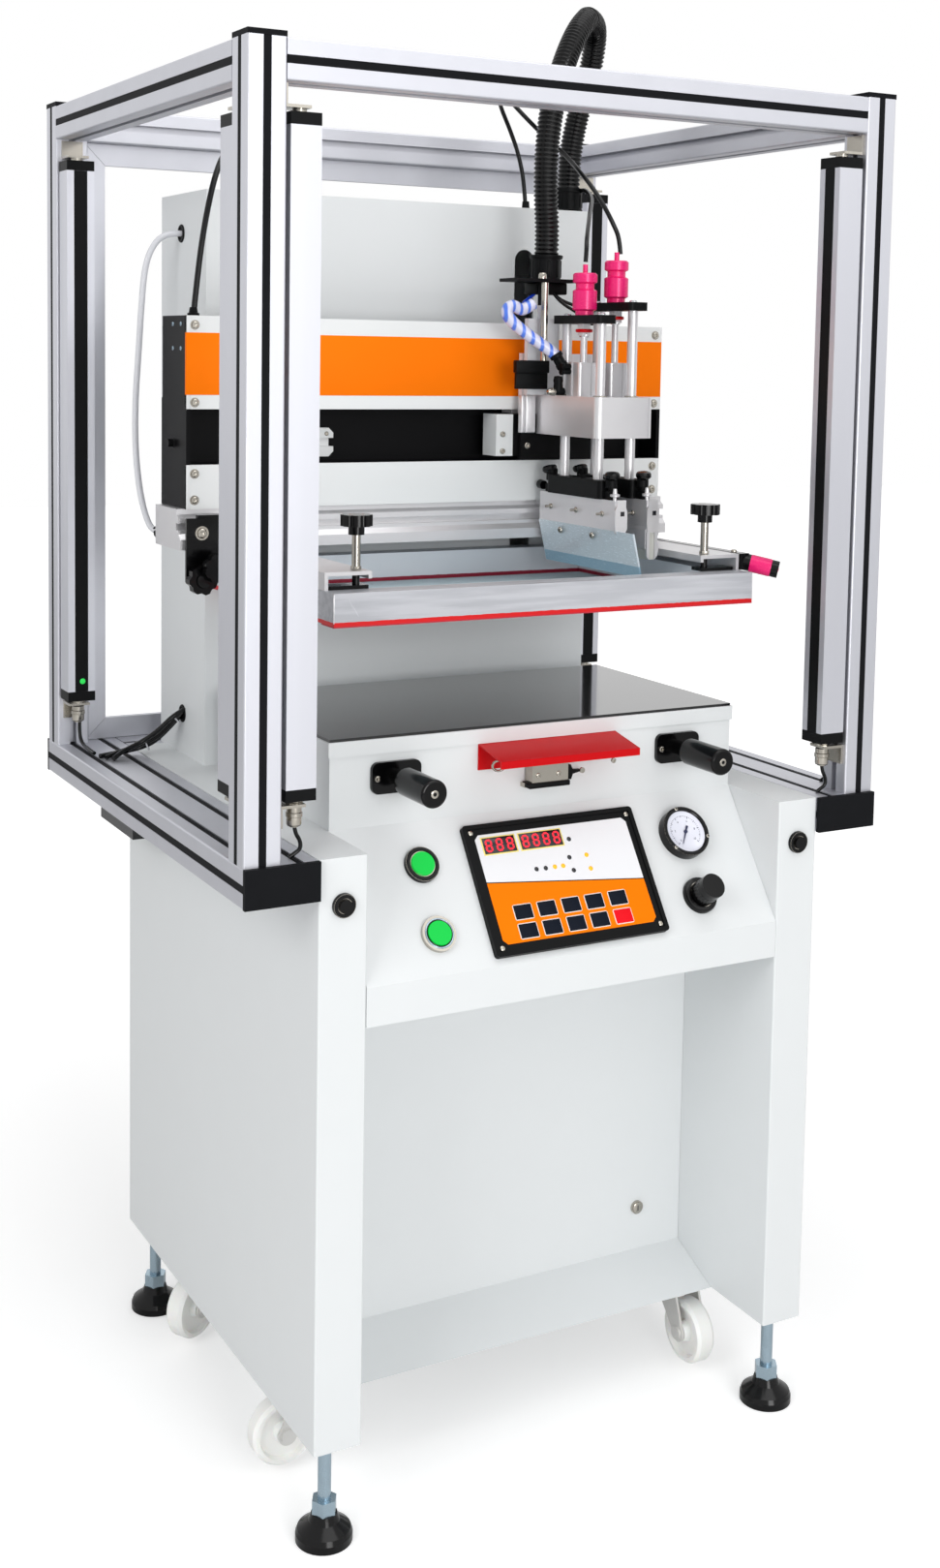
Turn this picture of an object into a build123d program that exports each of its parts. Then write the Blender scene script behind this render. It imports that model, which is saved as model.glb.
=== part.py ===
from build123d import *
import math
import os

# Screen printing machine on a sheet-metal cabinet, inside a safety frame of T-slot aluminium.
# Millimetres, +Z up, the operator stands on the -Y side. The origin is on the floor, below the middle.

# Safety frame
FRAME_W = 780.0
FRAME_D = 666.0
PROFILE = 40.0
PROFILE_R = 2.0
GROOVE_MOUTH = 8.2
GROOVE_ROOM = 14.0
GROOVE_LIP = 4.5
GROOVE_DEPTH = 11.0
COVER_T = 2.0
COVER_GAP = 0.3
POST_L = 790.0
CAP_T = 5.5
BASE_CELLS = 2
FRONT = -FRAME_D / 2
REAR = FRAME_D / 2
POST_X = FRAME_W / 2 - PROFILE / 2
POST_Y = FRAME_D / 2 - PROFILE / 2

# Heights above the floor
CABINET_BOTTOM = 109.0
CABINET_H = 617.5
DECK = CABINET_BOTTOM + CABINET_H
POST_TOP = DECK + POST_L
BASE_BEAM_Z = DECK - PROFILE / 2
TOP_BEAM_Z = POST_TOP - PROFILE / 2

# Rear panel frame
DOOR_BAR_W = 26.0
DOOR_BAR_T = 10.0
DOOR_GAP = 1.0
MITRE_GAP = 0.3

# Light curtains
CURTAIN_W = 34.0
CURTAIN_D = 32.0
CURTAIN_FOOT_ROOM = 72.5
CURTAIN_HEAD_ROOM = 79.5
CURTAIN_BOTTOM = DECK + CURTAIN_FOOT_ROOM
CURTAIN_H = POST_L - CURTAIN_FOOT_ROOM - CURTAIN_HEAD_ROOM
CURTAIN_CAP_T = 12.0
CURTAIN_GAP = 4.5
WINDOW_W = 16.0
WINDOW_T = 2.0
BRACKET_T = 3.0
BRACKET_W = 26.0
BRACKET_H = 26.0
PIVOT_R = 7.0
CONNECTOR_R = 7.0
CONNECTOR_L = 20.0

# Supports below the side beams
SUPPORT_W = 45.0
SUPPORT_H = 40.0
SUPPORT_L = 123.0
SUPPORT_REAR = 106.0
SUPPORT_FRONT = FRAME_D - SUPPORT_REAR - SUPPORT_L
SUPPORT_INSET = 35.0

# Cabinet
FIT = 0.3
CABINET_REAR_GAP = 1.0
CABINET_D = FRAME_D - BASE_CELLS * PROFILE - CABINET_REAR_GAP
LEG_W = 53.0
CABINET_W = FRAME_W - 2 * BASE_CELLS * PROFILE - 2 * FIT
CONSOLE_HALF = CABINET_W / 2 - LEG_W - FIT
KNEE_TOP = 548.0
LIP_H = 41.0
SLOPE_D = 97.0
KNEE_D = 173.0
KICK_D = 101.0
KICK_H = 31.0
SHEET_R = 2.0
LOCK_R = 8.0
LOCK_T = 3.0
LOCK_INSET = 62.9
LOCK_X = CONSOLE_HALF - LOCK_INSET
LOCK_Z = 193.0

# Levelling feet
FOOT_INSET = 24.7
FOOT_X = CABINET_W / 2 - FOOT_INSET
FOOT_FRONT = 28.0
FOOT_REAR = CABINET_D - FOOT_FRONT
FOOT_R = 30.0
FOOT_EDGE_H = 8.0
FOOT_BEVEL = 2.0
FOOT_FLARE = 3.0
FOOT_SHOULDER_H = 21.0
FOOT_RIM_H = 13.0
FOOT_NECK_R = 13.5
FOOT_H = 29.0
FOOT_FLOOR = 6.0
STUD_R = 7.0
STUD_FIT = 0.1
NUT_FLATS = 24.0
NUT_H = 15.0
LOCKNUT_H = 8.0

# Castors
CASTOR_INSET = 64.7
CASTOR_X = CABINET_W / 2 - CASTOR_INSET
CASTOR_FRONT = 160.0
CASTOR_REAR_INSET = 115.0
CASTOR_REAR = CABINET_D - CASTOR_REAR_INSET
CASTOR_PLATE = 60.0
CASTOR_PLATE_T = 4.0
WHEEL_R = 37.5
WHEEL_W = 24.0
WHEEL_GROUND = 9.0
WHEEL_BORE_FIT = 0.05
HUB_R = 11.0
HUB_W = 28.0
WEB_W = 12.0
TYRE_T = 9.0
WHEEL_BEVEL = 2.0
TREAD_BEVEL = 3.0
TREAD_EDGE = 4.0
AXLE_R = 5.0
AXLE_HEAD_R = 8.0
AXLE_HEAD_T = 3.0
CHEEK_T = 3.0
CHEEK_GAP = 30.0
CHEEK_R = 11.0
TRAIL = 32.0
SWIVEL_R = 24.0
SWIVEL_GAP = 0.3
SWIVEL_H = 8.0
CROWN_T = 5.0
KINGPIN_R = 6.0

# Console on the slope, u along X and v up the slope from its lower edge
BUTTON_R = 13.0
BUTTON_FIT = 0.4
BUTTON_H = 7.0
BUTTON_SINK = 6.0
BUTTON_BEZEL_R = 19.0
BEZEL_H = 5.0
POCKET = 15.0
START_INSET = 94.4
START_U = START_INSET - CONSOLE_HALF
START_V = 119.0
POWER_INSET = 92.4
POWER_U = POWER_INSET - CONSOLE_HALF
POWER_V = 43.0
LEG_BUTTON_Z = 678.0
LEG_BUTTON_R = 7.0
LEG_BEZEL_R = 12.0
LEG_BEZEL_H = 4.0
BUTTON_COLUMN = 149.9
GAUGE_COLUMN = 145.9
PANEL_U = (BUTTON_COLUMN - GAUGE_COLUMN) / 2
PANEL_V = 81.0
PANEL_W = 2 * CONSOLE_HALF - BUTTON_COLUMN - GAUGE_COLUMN
PANEL_R = 4.0
PANEL_H = 146.0
PANEL_T = 7.0
PANEL_RIM = 5.0
PANEL_SINK = 2.0
GAUGE_INSET = 86.4
GAUGE_U = CONSOLE_HALF - GAUGE_INSET
GAUGE_V = 115.0
GAUGE_R = 29.0
GAUGE_T = 12.0
GAUGE_RIM = 3.5
REGULATOR_INSET = 90.4
REGULATOR_U = CONSOLE_HALF - REGULATOR_INSET
REGULATOR_V = 42.0
REGULATOR_R = 14.0
REGULATOR_L = 28.0
REGULATOR_RING_R = 20.0
SPINDLE_R = 6.0
SPINDLE_FIT = 0.05
KNOB_LIFT = 0.5

# Printing table
COLUMN_D = 156.0
COLUMN_REAR = 70.0
COLUMN_FRONT = FRAME_D - COLUMN_REAR - COLUMN_D
TABLE_GAP = 0.4
TABLE_REAR_GAP = 52.0
TABLE_W = 2 * (CONSOLE_HALF - TABLE_GAP)
TABLE_D = COLUMN_FRONT - SLOPE_D - TABLE_REAR_GAP
TABLE_BOX_H = 77.5
TABLE_EDGE = 2.0
SLAB_H = 16.0
TOP_T = 3.0
GRIP_INSET = 76.0
GRIP_X = TABLE_W / 2 - GRIP_INSET
GRIP_Z = 778.0
GRIP_PLATE_W = 58.0
GRIP_PLATE_H = 34.0
GRIP_PLATE_T = 5.0
GRIP_PLATE_R = 8.0
GRIP_EDGE_R = 3.0
GRIP_NECK_R = 8.0
GRIP_NECK_L = 22.0
GRIP_R = 15.0
GRIP_L = 65.0
RED_X = 8.0
RED_W = 176.0
RED_FLANGE_H = 29.0
RED_REACH = 52.0
RED_DROP = 10.0
RED_LIP = 8.0
RED_T = 2.0
RED_BEND = 1.2
SWITCH_X = 2.0
SWITCH_W = 46.0
SWITCH_H = 24.0
SWITCH_D = 15.0
SWITCH_BASE_T = 5.0
SWITCH_GAP = 6.0

# Column
COLUMN_W = 530.0
COLUMN_TOP = 1411.0
WALL = 3.0
GUIDE_X = 166.5
SLOT_W = 29.0
SLOT_BOTTOM = 950.0
SLOT_TOP = 1358.0
GUIDE_R = 12.5
GUIDE_DEPTH = 50.0
GUIDE_FIT = 0.05
GUIDE_BLOCK = 50.0
GUIDE_BLOCK_H = 25.0
GUIDE_LOW = 800.0
GUIDE_HIGH = 1400.0

# Print head
HEAD_TRAVEL = 115.0
HEAD_W = 642.0
HEAD_BOTTOM = 1044.0
HEAD_TOP = 1262.0
HEAD_GAP = 8.0
HEAD_D = 80.0
HEAD_BACK = COLUMN_FRONT - HEAD_GAP
HEAD_FRONT = HEAD_BACK - HEAD_D
HEAD_PLATE_T = 4.0
RECESS_LOW = 1094.0
RECESS_HIGH = 1157.0
RECESS_D = 36.0
POCKET_TOP = 1190.0
RUN_GAP = 5.0
SLOT_GAP = 6.0
END_PLATE_T = 5.0
RUNNER_W = 44.0
RUNNER_D = 50.0
RUNNER_LOW = 1100.0
RUNNER_HIGH = 1220.0
TONGUE_W = 18.0
RAIL_Z = 1163.5
RAIL_W = 15.0
RAIL_T = 14.0
RAIL_NECK = 9.0
RAIL_FIT = 0.1
FORK_RIGHT = -126.0
FORK_L = 50.0
FORK_Z = 1117.0
FORK_H = 34.0
FORK_T = 10.0
FORK_SLOT = 10.0
FORK_NOTCH = 4.0
FORK_CHAMFER = 6.0

# Screen holder and screen
BAR_W = 660.0
BAR_H = 46.0
BAR_D = 84.0
BAR_SETBACK = 2.0
BAR_CHAMFER = 12.0
BAR_LIP = 12.0
BAR_STEP = 6.0
BAR_SLOPE = 6.0
BAR_LAND = 4.0
BAR_GROOVE_W = 8.0
BAR_GROOVE_D = 8.0
SCREEN_W = 528.0
SCREEN_D = 360.0
SCREEN_BACK = HEAD_BACK
SCREEN_FRONT = SCREEN_BACK - SCREEN_D
SCREEN_BOTTOM = 945.0
SCREEN_H = 34.0
SCREEN_BAR_W = 30.0
MESH_T = 1.5
ARM_W = 54.0
ARM_INSET = 26.0
ARM_FRONT = SCREEN_FRONT + ARM_INSET
ARM_WALL = 4.0
CLAMP_STUD_R = 4.0
CLAMP_STUD_X = 222.0
CLAMP_INSET = 12.0
CLAMP_FRONT = ARM_FRONT + CLAMP_INSET
CLAMP_REAR_GAP = 10.0
PAD_L = 44.0
PAD_W = 20.0
PAD_T = 4.0
PAD_SHIFT = 12.0
CLAMP_KNOB_R = 17.0
CLAMP_KNOB_H = 12.0
CLAMP_HUB_R = 8.5
CLAMP_HUB_H = 9.0
CLAMP_LOBES = 8
NOTCH_R = 4.0
CLAMP_STUD_L = 56.0
CLAMP_PLATE_X = 32.0
CLAMP_PLATE_W = 27.0
CLAMP_PLATE_T = 6.0
CLAMP_PLATE_DROP = 26.0
CLAMP_PLATE_STUD_L = 14.0
LEVER_RAIL_W = 13.0
LEVER_R = 10.0
LEVER_L = 45.0
LEVER_AXIS = (0.74, -0.64, -0.2)

# Carriage
CARRIAGE_TRAVEL = 300.0
BLOCK_W = 80.0
BLOCK_X = 163.5
CARRIAGE_GAP = 16.0
BLOCK_L = 143.0
BLOCK_BACK = HEAD_FRONT - CARRIAGE_GAP
BLOCK_FRONT = BLOCK_BACK - BLOCK_L
BLOCK_BOTTOM = 1128.0
BLOCK_H = 48.0
BLOCK_R = 8.0
PLATE_T = 8.0
PLATE_W = 116.0
PLATE_BOTTOM = 1096.0
PLATE_TOP = 1226.0
BEARING_W = 48.0
BEARING_H = 34.0
WEB_REACH = 88.5

# Print units
UNIT_PITCH = 44.0
ROD_R = 6.0
ROD_FIT = 0.05
ROD_INSET = 22.0
ROD_FRONT = BLOCK_FRONT + ROD_INSET
ROD_PITCH = 76.0
FLOOD_TRAVEL = 18.0
SQUEEGEE_TRAVEL = 30.0
YOKE_W = 26.0
YOKE_L = 104.0
YOKE_T = 10.0
YOKE_R = 5.0
FLOOD_YOKE_Z = 1262.0
SQUEEGEE_YOKE_Z = 1278.0
CYLINDER_W = 30.0
CYLINDER_H = 40.0
CYLINDER_GROOVE = 3.0
CLEVIS_W = 11.0
CLEVIS_H = 14.0
PISTON_R = 4.0
ADJUSTER_R = 14.5
ADJUSTER_NECK_R = 11.0
ADJUSTER_FOOT_H = 5.0
ADJUSTER_BODY_H = 26.0
ADJUSTER_NECK_H = 6.0
ADJUSTER_CAP_H = 13.0
ADJUSTER_CHAMFER = 2.0
NIPPLE_R = 3.0
NIPPLE_H = 10.0
HOLDER_BAR_W = 24.0
HOLDER_BAR_H = 22.0
HOLDER_BAR_L = 120.0
HOLDER_Z = 1057.0
HOLDER_H = 35.0
HOLDER_W = 14.0
HOLDER_NOSE_H = 12.0
HOLDER_WAIST_H = 18.0
HOLDER_REACH = 49.0
HOLDER_FRONT = ROD_FRONT - HOLDER_REACH
HOLDER_L = 170.0
BLADE_L = 210.0
BLADE_REACH = 38.0
BLADE_FRONT = HOLDER_FRONT - BLADE_REACH
BLADE_T = 2.5
BLADE_BOTTOM = 971.0
BLADE_LEAN = 12.0
JAW_T = 4.0
JAW_H = 22.0
RUBBER_T = 8.0
RUBBER_BOTTOM = 987.0
KNOB_R = 7.0
KNOB_STUD_R = 3.5
KNOB_STUD_L = 4.0
EAR_W = 10.0
EAR_T = 10.0
KNOB_L = 14.0

# Hose bracket on the carriage
STAND_X = 122.0
STAND_INSET = 18.0
STAND_Y = BLOCK_BACK - STAND_INSET
STAND_W = 44.0
STAND_TOP = 1268.0
HOSE_PLATE_Z = 1312.0
HOSE_PLATE_T = 4.0
HOSE_X = 136.0
HOSE_Y = 335.0
HOSE_R = 15.0
HOSE_SLEEVE_R = 18.0
HOSE_SLEEVE_H = 30.0

UPWARD = (Align.CENTER, Align.CENTER, Align.MIN)

os.makedirs("parts", exist_ok=True)


def block(x, y, z):
    """A box that fills three (low, high) spans."""
    spans = (x, y, z)
    size = [high - low for low, high in spans]
    middle = [(low + high) / 2 for low, high in spans]
    return Pos(*middle) * Box(*size)


def around(middle, size):
    """The (low, high) span of a size about its middle."""
    return (middle - size / 2, middle + size / 2)


def rod(radius, start, direction, length):
    """A round bar from its start along a direction."""
    return extrude(Plane(start, z_dir=direction) * Circle(radius), length)


def side_profile(points, low, high):
    """An outline of (y, z) points, drawn out along X from low to high."""
    outline = Polygon(*points, align=None)
    plane = Plane((low, 0, 0), x_dir=(0, 1, 0), z_dir=(1, 0, 0))
    return extrude(plane * outline, high - low, dir=(1, 0, 0))


def save(node, *shapes):
    """Write one node's solids to a file of its own."""
    solids = [solid for shape in shapes for solid in shape.solids()]
    export_step(Compound(solids), os.path.join("parts", node + ".step"))


def groove():
    """The outline of one T-groove, open at y = 0."""
    mouth = Pos(0, -GROOVE_DEPTH / 2) * Rectangle(GROOVE_MOUTH, GROOVE_DEPTH)
    room = Rectangle(GROOVE_ROOM, GROOVE_DEPTH - GROOVE_LIP)
    return mouth + Pos(0, -(GROOVE_DEPTH + GROOVE_LIP) / 2) * room


def t_slot(cells):
    """The cross-section of a T-slot profile, so many cells wide."""
    outline = RectangleRounded(cells * PROFILE, PROFILE, PROFILE_R)
    for cell in range(cells):
        x = (cell - (cells - 1) / 2) * PROFILE
        outline -= Pos(x, PROFILE / 2) * groove()
        outline -= Pos(x, -PROFILE / 2) * Rot(0, 0, 180) * groove()
    for side in (-1, 1):
        outline -= Pos(side * cells * PROFILE / 2, 0) * Rot(0, 0, -90 * side) * groove()
    return outline


def profile_bar(start, along, across, length, cells=1):
    """A length of T-slot profile; across is the direction of its width."""
    return extrude(Plane(start, x_dir=across, z_dir=along) * t_slot(cells), length)


def cover_strip(start, along, outward, length):
    """The plastic strip that closes a groove, flush with the face it starts on."""
    plane = Plane(start, x_dir=Vector(*along).cross(Vector(*outward)), z_dir=along)
    sign = 1 if plane.y_dir.dot(Vector(*outward)) > 0 else -1
    strip = Pos(0, -sign * COVER_T / 2) * Rectangle(GROOVE_MOUTH - 2 * COVER_GAP, COVER_T)
    return extrude(plane.offset(COVER_GAP) * strip, length - 2 * COVER_GAP)


def build_frame():
    """Posts, beams, groove covers and end caps of the safety frame."""
    posts = []
    covers = []
    caps = []
    for sx in (-1, 1):
        for sy in (-1, 1):
            posts.append(profile_bar((sx * POST_X, sy * POST_Y, DECK), (0, 0, 1), (1, 0, 0), POST_L))
            faces = ((sx * FRAME_W / 2, sy * POST_Y, sx, 0), (sx * POST_X, sy * FRAME_D / 2, 0, sy))
            for x, y, out_x, out_y in faces:
                covers.append(cover_strip((x, y, DECK), (0, 0, 1), (out_x, out_y, 0), POST_L))
            spans = around(sx * POST_X, PROFILE), around(sy * POST_Y, PROFILE)
            caps.append(block(*spans, (POST_TOP, POST_TOP + CAP_T)))
    save("frame_posts", *posts)

    inner_w = FRAME_W - 2 * PROFILE
    inner_d = FRAME_D - 2 * PROFILE
    top = []
    for side in (-1, 1):
        start = (-inner_w / 2, side * POST_Y, TOP_BEAM_Z)
        top.append(profile_bar(start, (1, 0, 0), (0, 1, 0), inner_w))
        face = (-inner_w / 2, side * FRAME_D / 2, TOP_BEAM_Z)
        covers.append(cover_strip(face, (1, 0, 0), (0, side, 0), inner_w))
        start = (side * POST_X, -inner_d / 2, TOP_BEAM_Z)
        top.append(profile_bar(start, (0, 1, 0), (1, 0, 0), inner_d))
        face = (side * FRAME_W / 2, -inner_d / 2, TOP_BEAM_Z)
        covers.append(cover_strip(face, (0, 1, 0), (side, 0, 0), inner_d))
    save("frame_top_beams", *top)

    base_w = BASE_CELLS * PROFILE
    base = []
    for side in (-1, 1):
        start = (side * (FRAME_W - base_w) / 2, FRONT, BASE_BEAM_Z)
        base.append(profile_bar(start, (0, 1, 0), (1, 0, 0), FRAME_D, BASE_CELLS))
        face = (side * FRAME_W / 2, FRONT, BASE_BEAM_Z)
        covers.append(cover_strip(face, (0, 1, 0), (side, 0, 0), FRAME_D))
        for end in (-1, 1):
            outer = sorted((end * FRAME_D / 2, end * (FRAME_D / 2 + CAP_T)))
            width = around(side * (FRAME_W - base_w) / 2, base_w)
            caps.append(block(width, outer, around(BASE_BEAM_Z, PROFILE)))
    rear_l = FRAME_W - 2 * base_w - 2 * FIT
    start = (-rear_l / 2, REAR - base_w / 2, BASE_BEAM_Z)
    base.append(profile_bar(start, (1, 0, 0), (0, 1, 0), rear_l, BASE_CELLS))
    face = (-rear_l / 2, REAR, BASE_BEAM_Z)
    covers.append(cover_strip(face, (1, 0, 0), (0, 1, 0), rear_l))
    save("frame_base_beams", *base)
    save("frame_trim", *covers, *caps)


def build_rear_panel_frame():
    """Four flat mitred bars that fill the opening between the rear posts."""
    half_w = FRAME_W / 2 - PROFILE - DOOR_GAP / 2
    low = DECK + DOOR_GAP / 2
    high = POST_TOP - PROFILE - DOOR_GAP / 2
    middle = (low + high) / 2
    half_h = (high - low) / 2
    depth = around(POST_Y, DOOR_BAR_T)
    bars = []
    for length, reach, turn in ((half_w, half_h, 0), (half_h, half_w, 90)):
        for side in (0, 180):
            inner = length - DOOR_BAR_W
            points = (
                (-length + MITRE_GAP, -reach),
                (length - MITRE_GAP, -reach),
                (inner - MITRE_GAP, -reach + DOOR_BAR_W),
                (-inner + MITRE_GAP, -reach + DOOR_BAR_W),
            )
            face = Plane((0, depth[1], middle), x_dir=(1, 0, 0), z_dir=(0, -1, 0))
            outline = Rot(0, 0, turn + side) * Polygon(*points, align=None)
            bars.append(extrude(face * outline, DOOR_BAR_T, dir=(0, -1, 0)))
    save("rear_panel_frame", *bars)


def curtain_places():
    """Middle of each light curtain and the way its window looks."""
    across = FRAME_W / 2 - PROFILE - CURTAIN_GAP - CURTAIN_D / 2
    along = FRAME_D / 2 - PROFILE - CURTAIN_GAP - CURTAIN_D / 2
    front_y = FRONT + CURTAIN_W / 2 + DOOR_GAP
    places = []
    for side in (-1, 1):
        places.append((side * across, front_y, -90 * side))
        places.append((side * POST_X, -along, 180))
        places.append((side * POST_X, along, 0))
    return places


def build_curtains():
    """Six light curtain bars, each with window, end caps, swivel brackets and connector."""
    bodies = []
    dark = []
    brackets = []
    top = CURTAIN_BOTTOM + CURTAIN_H
    for x, y, turn in curtain_places():
        place = Pos(x, y, 0) * Rot(0, 0, turn)
        length = (CURTAIN_BOTTOM, top)
        body = block(around(0, CURTAIN_W), around(0, CURTAIN_D), length)
        window_y = (-CURTAIN_D / 2, -CURTAIN_D / 2 + WINDOW_T)
        body -= block(around(0, WINDOW_W + 2 * FIT), window_y, length)
        bodies.append(place * body)
        dark.append(place * block(around(0, WINDOW_W), window_y, (length[0] + FIT, length[1] - FIT)))
        for end, way in ((CURTAIN_BOTTOM, -1), (top, 1)):
            cap = sorted((end, end + way * CURTAIN_CAP_T))
            dark.append(place * block(around(0, CURTAIN_W), around(0, CURTAIN_D), cap))
            outer = end + way * CURTAIN_CAP_T
            pivot = rod(PIVOT_R, (0, 0, min(outer, outer + way * PIVOT_R)), (0, 0, 1), PIVOT_R)
            back = (CURTAIN_D / 2 + CURTAIN_GAP - BRACKET_T, CURTAIN_D / 2 + CURTAIN_GAP)
            tall = sorted((outer + way * (PIVOT_R - BRACKET_T), outer + way * BRACKET_H))
            foot = sorted((outer + way * (PIVOT_R - BRACKET_T), outer + way * PIVOT_R))
            plate = block(around(0, BRACKET_W), back, tall)
            shelf = block(around(0, BRACKET_W), (-PIVOT_R, back[1]), foot)
            brackets.append(place * (plate + shelf + pivot))
        bottom = CURTAIN_BOTTOM - CURTAIN_CAP_T - PIVOT_R
        dark.append(place * rod(CONNECTOR_R, (0, 0, bottom - CONNECTOR_L), (0, 0, 1), CONNECTOR_L))
    save("curtain_bodies", *bodies)
    save("curtain_windows", *dark)

    for side in (-1, 1):
        x = around(side * (FRAME_W / 2 - SUPPORT_INSET - SUPPORT_W / 2), SUPPORT_W)
        y = (FRONT + SUPPORT_FRONT, FRONT + SUPPORT_FRONT + SUPPORT_L)
        beam_bottom = DECK - PROFILE
        brackets.append(block(x, y, (beam_bottom - SUPPORT_H, beam_bottom)))
    save("frame_brackets", *brackets)


SLOPE_ANGLE = math.atan2(DECK - KNEE_TOP - LIP_H, SLOPE_D)
SLOPE = Plane(
    (0, FRONT, KNEE_TOP + LIP_H),
    x_dir=(1, 0, 0),
    z_dir=(0, -math.sin(SLOPE_ANGLE), math.cos(SLOPE_ANGLE)),
)
LEG_X = CABINET_W / 2 - LEG_W / 2
LEG_FACE = Plane((0, FRONT, LEG_BUTTON_Z), x_dir=(1, 0, 0), z_dir=(0, -1, 0))
BUTTONS = (
    ("button_start", SLOPE, START_U, START_V, BUTTON_R, BUTTON_BEZEL_R, BEZEL_H),
    ("button_power", SLOPE, POWER_U, POWER_V, BUTTON_R, BUTTON_BEZEL_R, BEZEL_H),
    ("button_head", LEG_FACE, -LEG_X, 0, LEG_BUTTON_R, LEG_BEZEL_R, LEG_BEZEL_H),
    ("button_vacuum", LEG_FACE, LEG_X, 0, LEG_BUTTON_R, LEG_BEZEL_R, LEG_BEZEL_H),
)


def disc(plane, u, v, radius, low, high):
    """A round solid on a sloping plane, between two heights above it."""
    return extrude(plane.offset(low) * Pos(u, v) * Circle(radius), high - low)


def build_cabinet():
    """Two pedestals, the sloping console, the closed core behind the knees and the kick panel."""
    y = (FRONT, FRONT + CABINET_D)
    sides = []
    for side in (-1, 1):
        leg = block(around(side * LEG_X, LEG_W), y, (CABINET_BOTTOM, DECK))
        leg = fillet(leg.edges().filter_by(Axis.Z).group_by(Axis.Y)[0], SHEET_R)
        sides.append(leg - disc(LEG_FACE, side * LEG_X, 0, LEG_BUTTON_R + BUTTON_FIT, -POCKET, POCKET))
    save("cabinet_sides", *sides)

    half = CONSOLE_HALF
    back = FRONT + CABINET_D
    points = (
        (FRONT, KNEE_TOP),
        (FRONT, KNEE_TOP + LIP_H),
        (FRONT + SLOPE_D, DECK),
        (back, DECK),
        (back, KNEE_TOP),
    )
    console = side_profile(points, -half, half)
    for name, plane, u, v, radius, bezel_r, bezel_h in BUTTONS[:2]:
        console -= disc(plane, u, v, radius + BUTTON_FIT, -POCKET, POCKET)
    console -= disc(SLOPE, REGULATOR_U, REGULATOR_V, SPINDLE_R + SPINDLE_FIT, -POCKET, POCKET)
    core = block((-half, half), (FRONT + KNEE_D, back), (CABINET_BOTTOM, KNEE_TOP))
    kick = side_profile(
        (
            (FRONT + KICK_D, CABINET_BOTTOM),
            (FRONT + KNEE_D, CABINET_BOTTOM + KICK_H),
            (FRONT + KNEE_D, CABINET_BOTTOM),
        ),
        -half,
        half,
    )
    save("console_housing", console)
    save("cabinet_core", core + kick)


def build_feet():
    """Four bell-shaped levelling feet with their studs and nuts."""
    bases = []
    studs = []
    for sx in (-1, 1):
        for y in (FRONT + FOOT_FRONT, FRONT + FOOT_REAR):
            place = Pos(sx * FOOT_X, y, 0)
            outline = Polyline(
                (0, 0),
                (FOOT_R, 0),
                (FOOT_R, FOOT_EDGE_H),
                (FOOT_R - FOOT_BEVEL, FOOT_RIM_H),
                (FOOT_NECK_R + FOOT_FLARE, FOOT_SHOULDER_H),
                (FOOT_NECK_R, FOOT_H),
                (STUD_R + STUD_FIT, FOOT_H),
                (STUD_R + STUD_FIT, FOOT_FLOOR),
                (0, FOOT_FLOOR),
                (0, 0),
            )
            bases.append(place * revolve(Plane.XZ * make_face(outline), Axis.Z))
            hexagon = RegularPolygon(NUT_FLATS / 2, 6, major_radius=False)
            nut = hexagon - Circle(STUD_R + STUD_FIT)
            studs.append(place * rod(STUD_R, (0, 0, FOOT_FLOOR), (0, 0, 1), CABINET_BOTTOM - FOOT_FLOOR))
            studs.append(place * Pos(0, 0, FOOT_H) * extrude(nut, NUT_H))
            studs.append(place * Pos(0, 0, CABINET_BOTTOM - LOCKNUT_H) * extrude(nut, LOCKNUT_H))
    save("foot_bases", *bases)
    return studs


CASTORS = (
    ("front_left", -CASTOR_X, FRONT + CASTOR_FRONT, -90),
    ("front_right", CASTOR_X, FRONT + CASTOR_FRONT, 0),
    ("rear_left", -CASTOR_X, FRONT + CASTOR_REAR, -60),
    ("rear_right", CASTOR_X, FRONT + CASTOR_REAR, 150),
)
AXLE_Z = WHEEL_GROUND + WHEEL_R


def castor_fork():
    """A swivelling fork with its axle; the wheel trails towards -Y."""
    top = CABINET_BOTTOM - CASTOR_PLATE_T - SWIVEL_GAP
    crown_top = top - SWIVEL_H
    head = Pos(0, 0, crown_top) * extrude(
        Circle(SWIVEL_R) - Circle(KINGPIN_R + STUD_FIT), SWIVEL_H
    )
    outer = CHEEK_GAP / 2 + CHEEK_T
    crown = block((-outer, outer), (-SWIVEL_R, SWIVEL_R), (crown_top - CROWN_T, crown_top))
    crown -= rod(KINGPIN_R + STUD_FIT, (0, 0, crown_top - CROWN_T), (0, 0, 1), CROWN_T)
    cheek = Polygon(
        (-SWIVEL_R, crown_top),
        (SWIVEL_R, crown_top),
        (-TRAIL + CHEEK_R, AXLE_Z),
        (-TRAIL - CHEEK_R, AXLE_Z),
        align=None,
    )
    cheek += Pos(-TRAIL, AXLE_Z) * Circle(CHEEK_R)
    fork = head + crown
    for low in (-outer, CHEEK_GAP / 2):
        plane = Plane((low, 0, 0), x_dir=(0, 1, 0), z_dir=(1, 0, 0))
        fork += extrude(plane * cheek, CHEEK_T, dir=(1, 0, 0))
    fork += rod(AXLE_R, (-outer, -TRAIL, AXLE_Z), (1, 0, 0), 2 * outer)
    for side in (-outer - AXLE_HEAD_T, outer):
        fork += rod(AXLE_HEAD_R, (side, -TRAIL, AXLE_Z), (1, 0, 0), AXLE_HEAD_T)
    return fork


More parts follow.
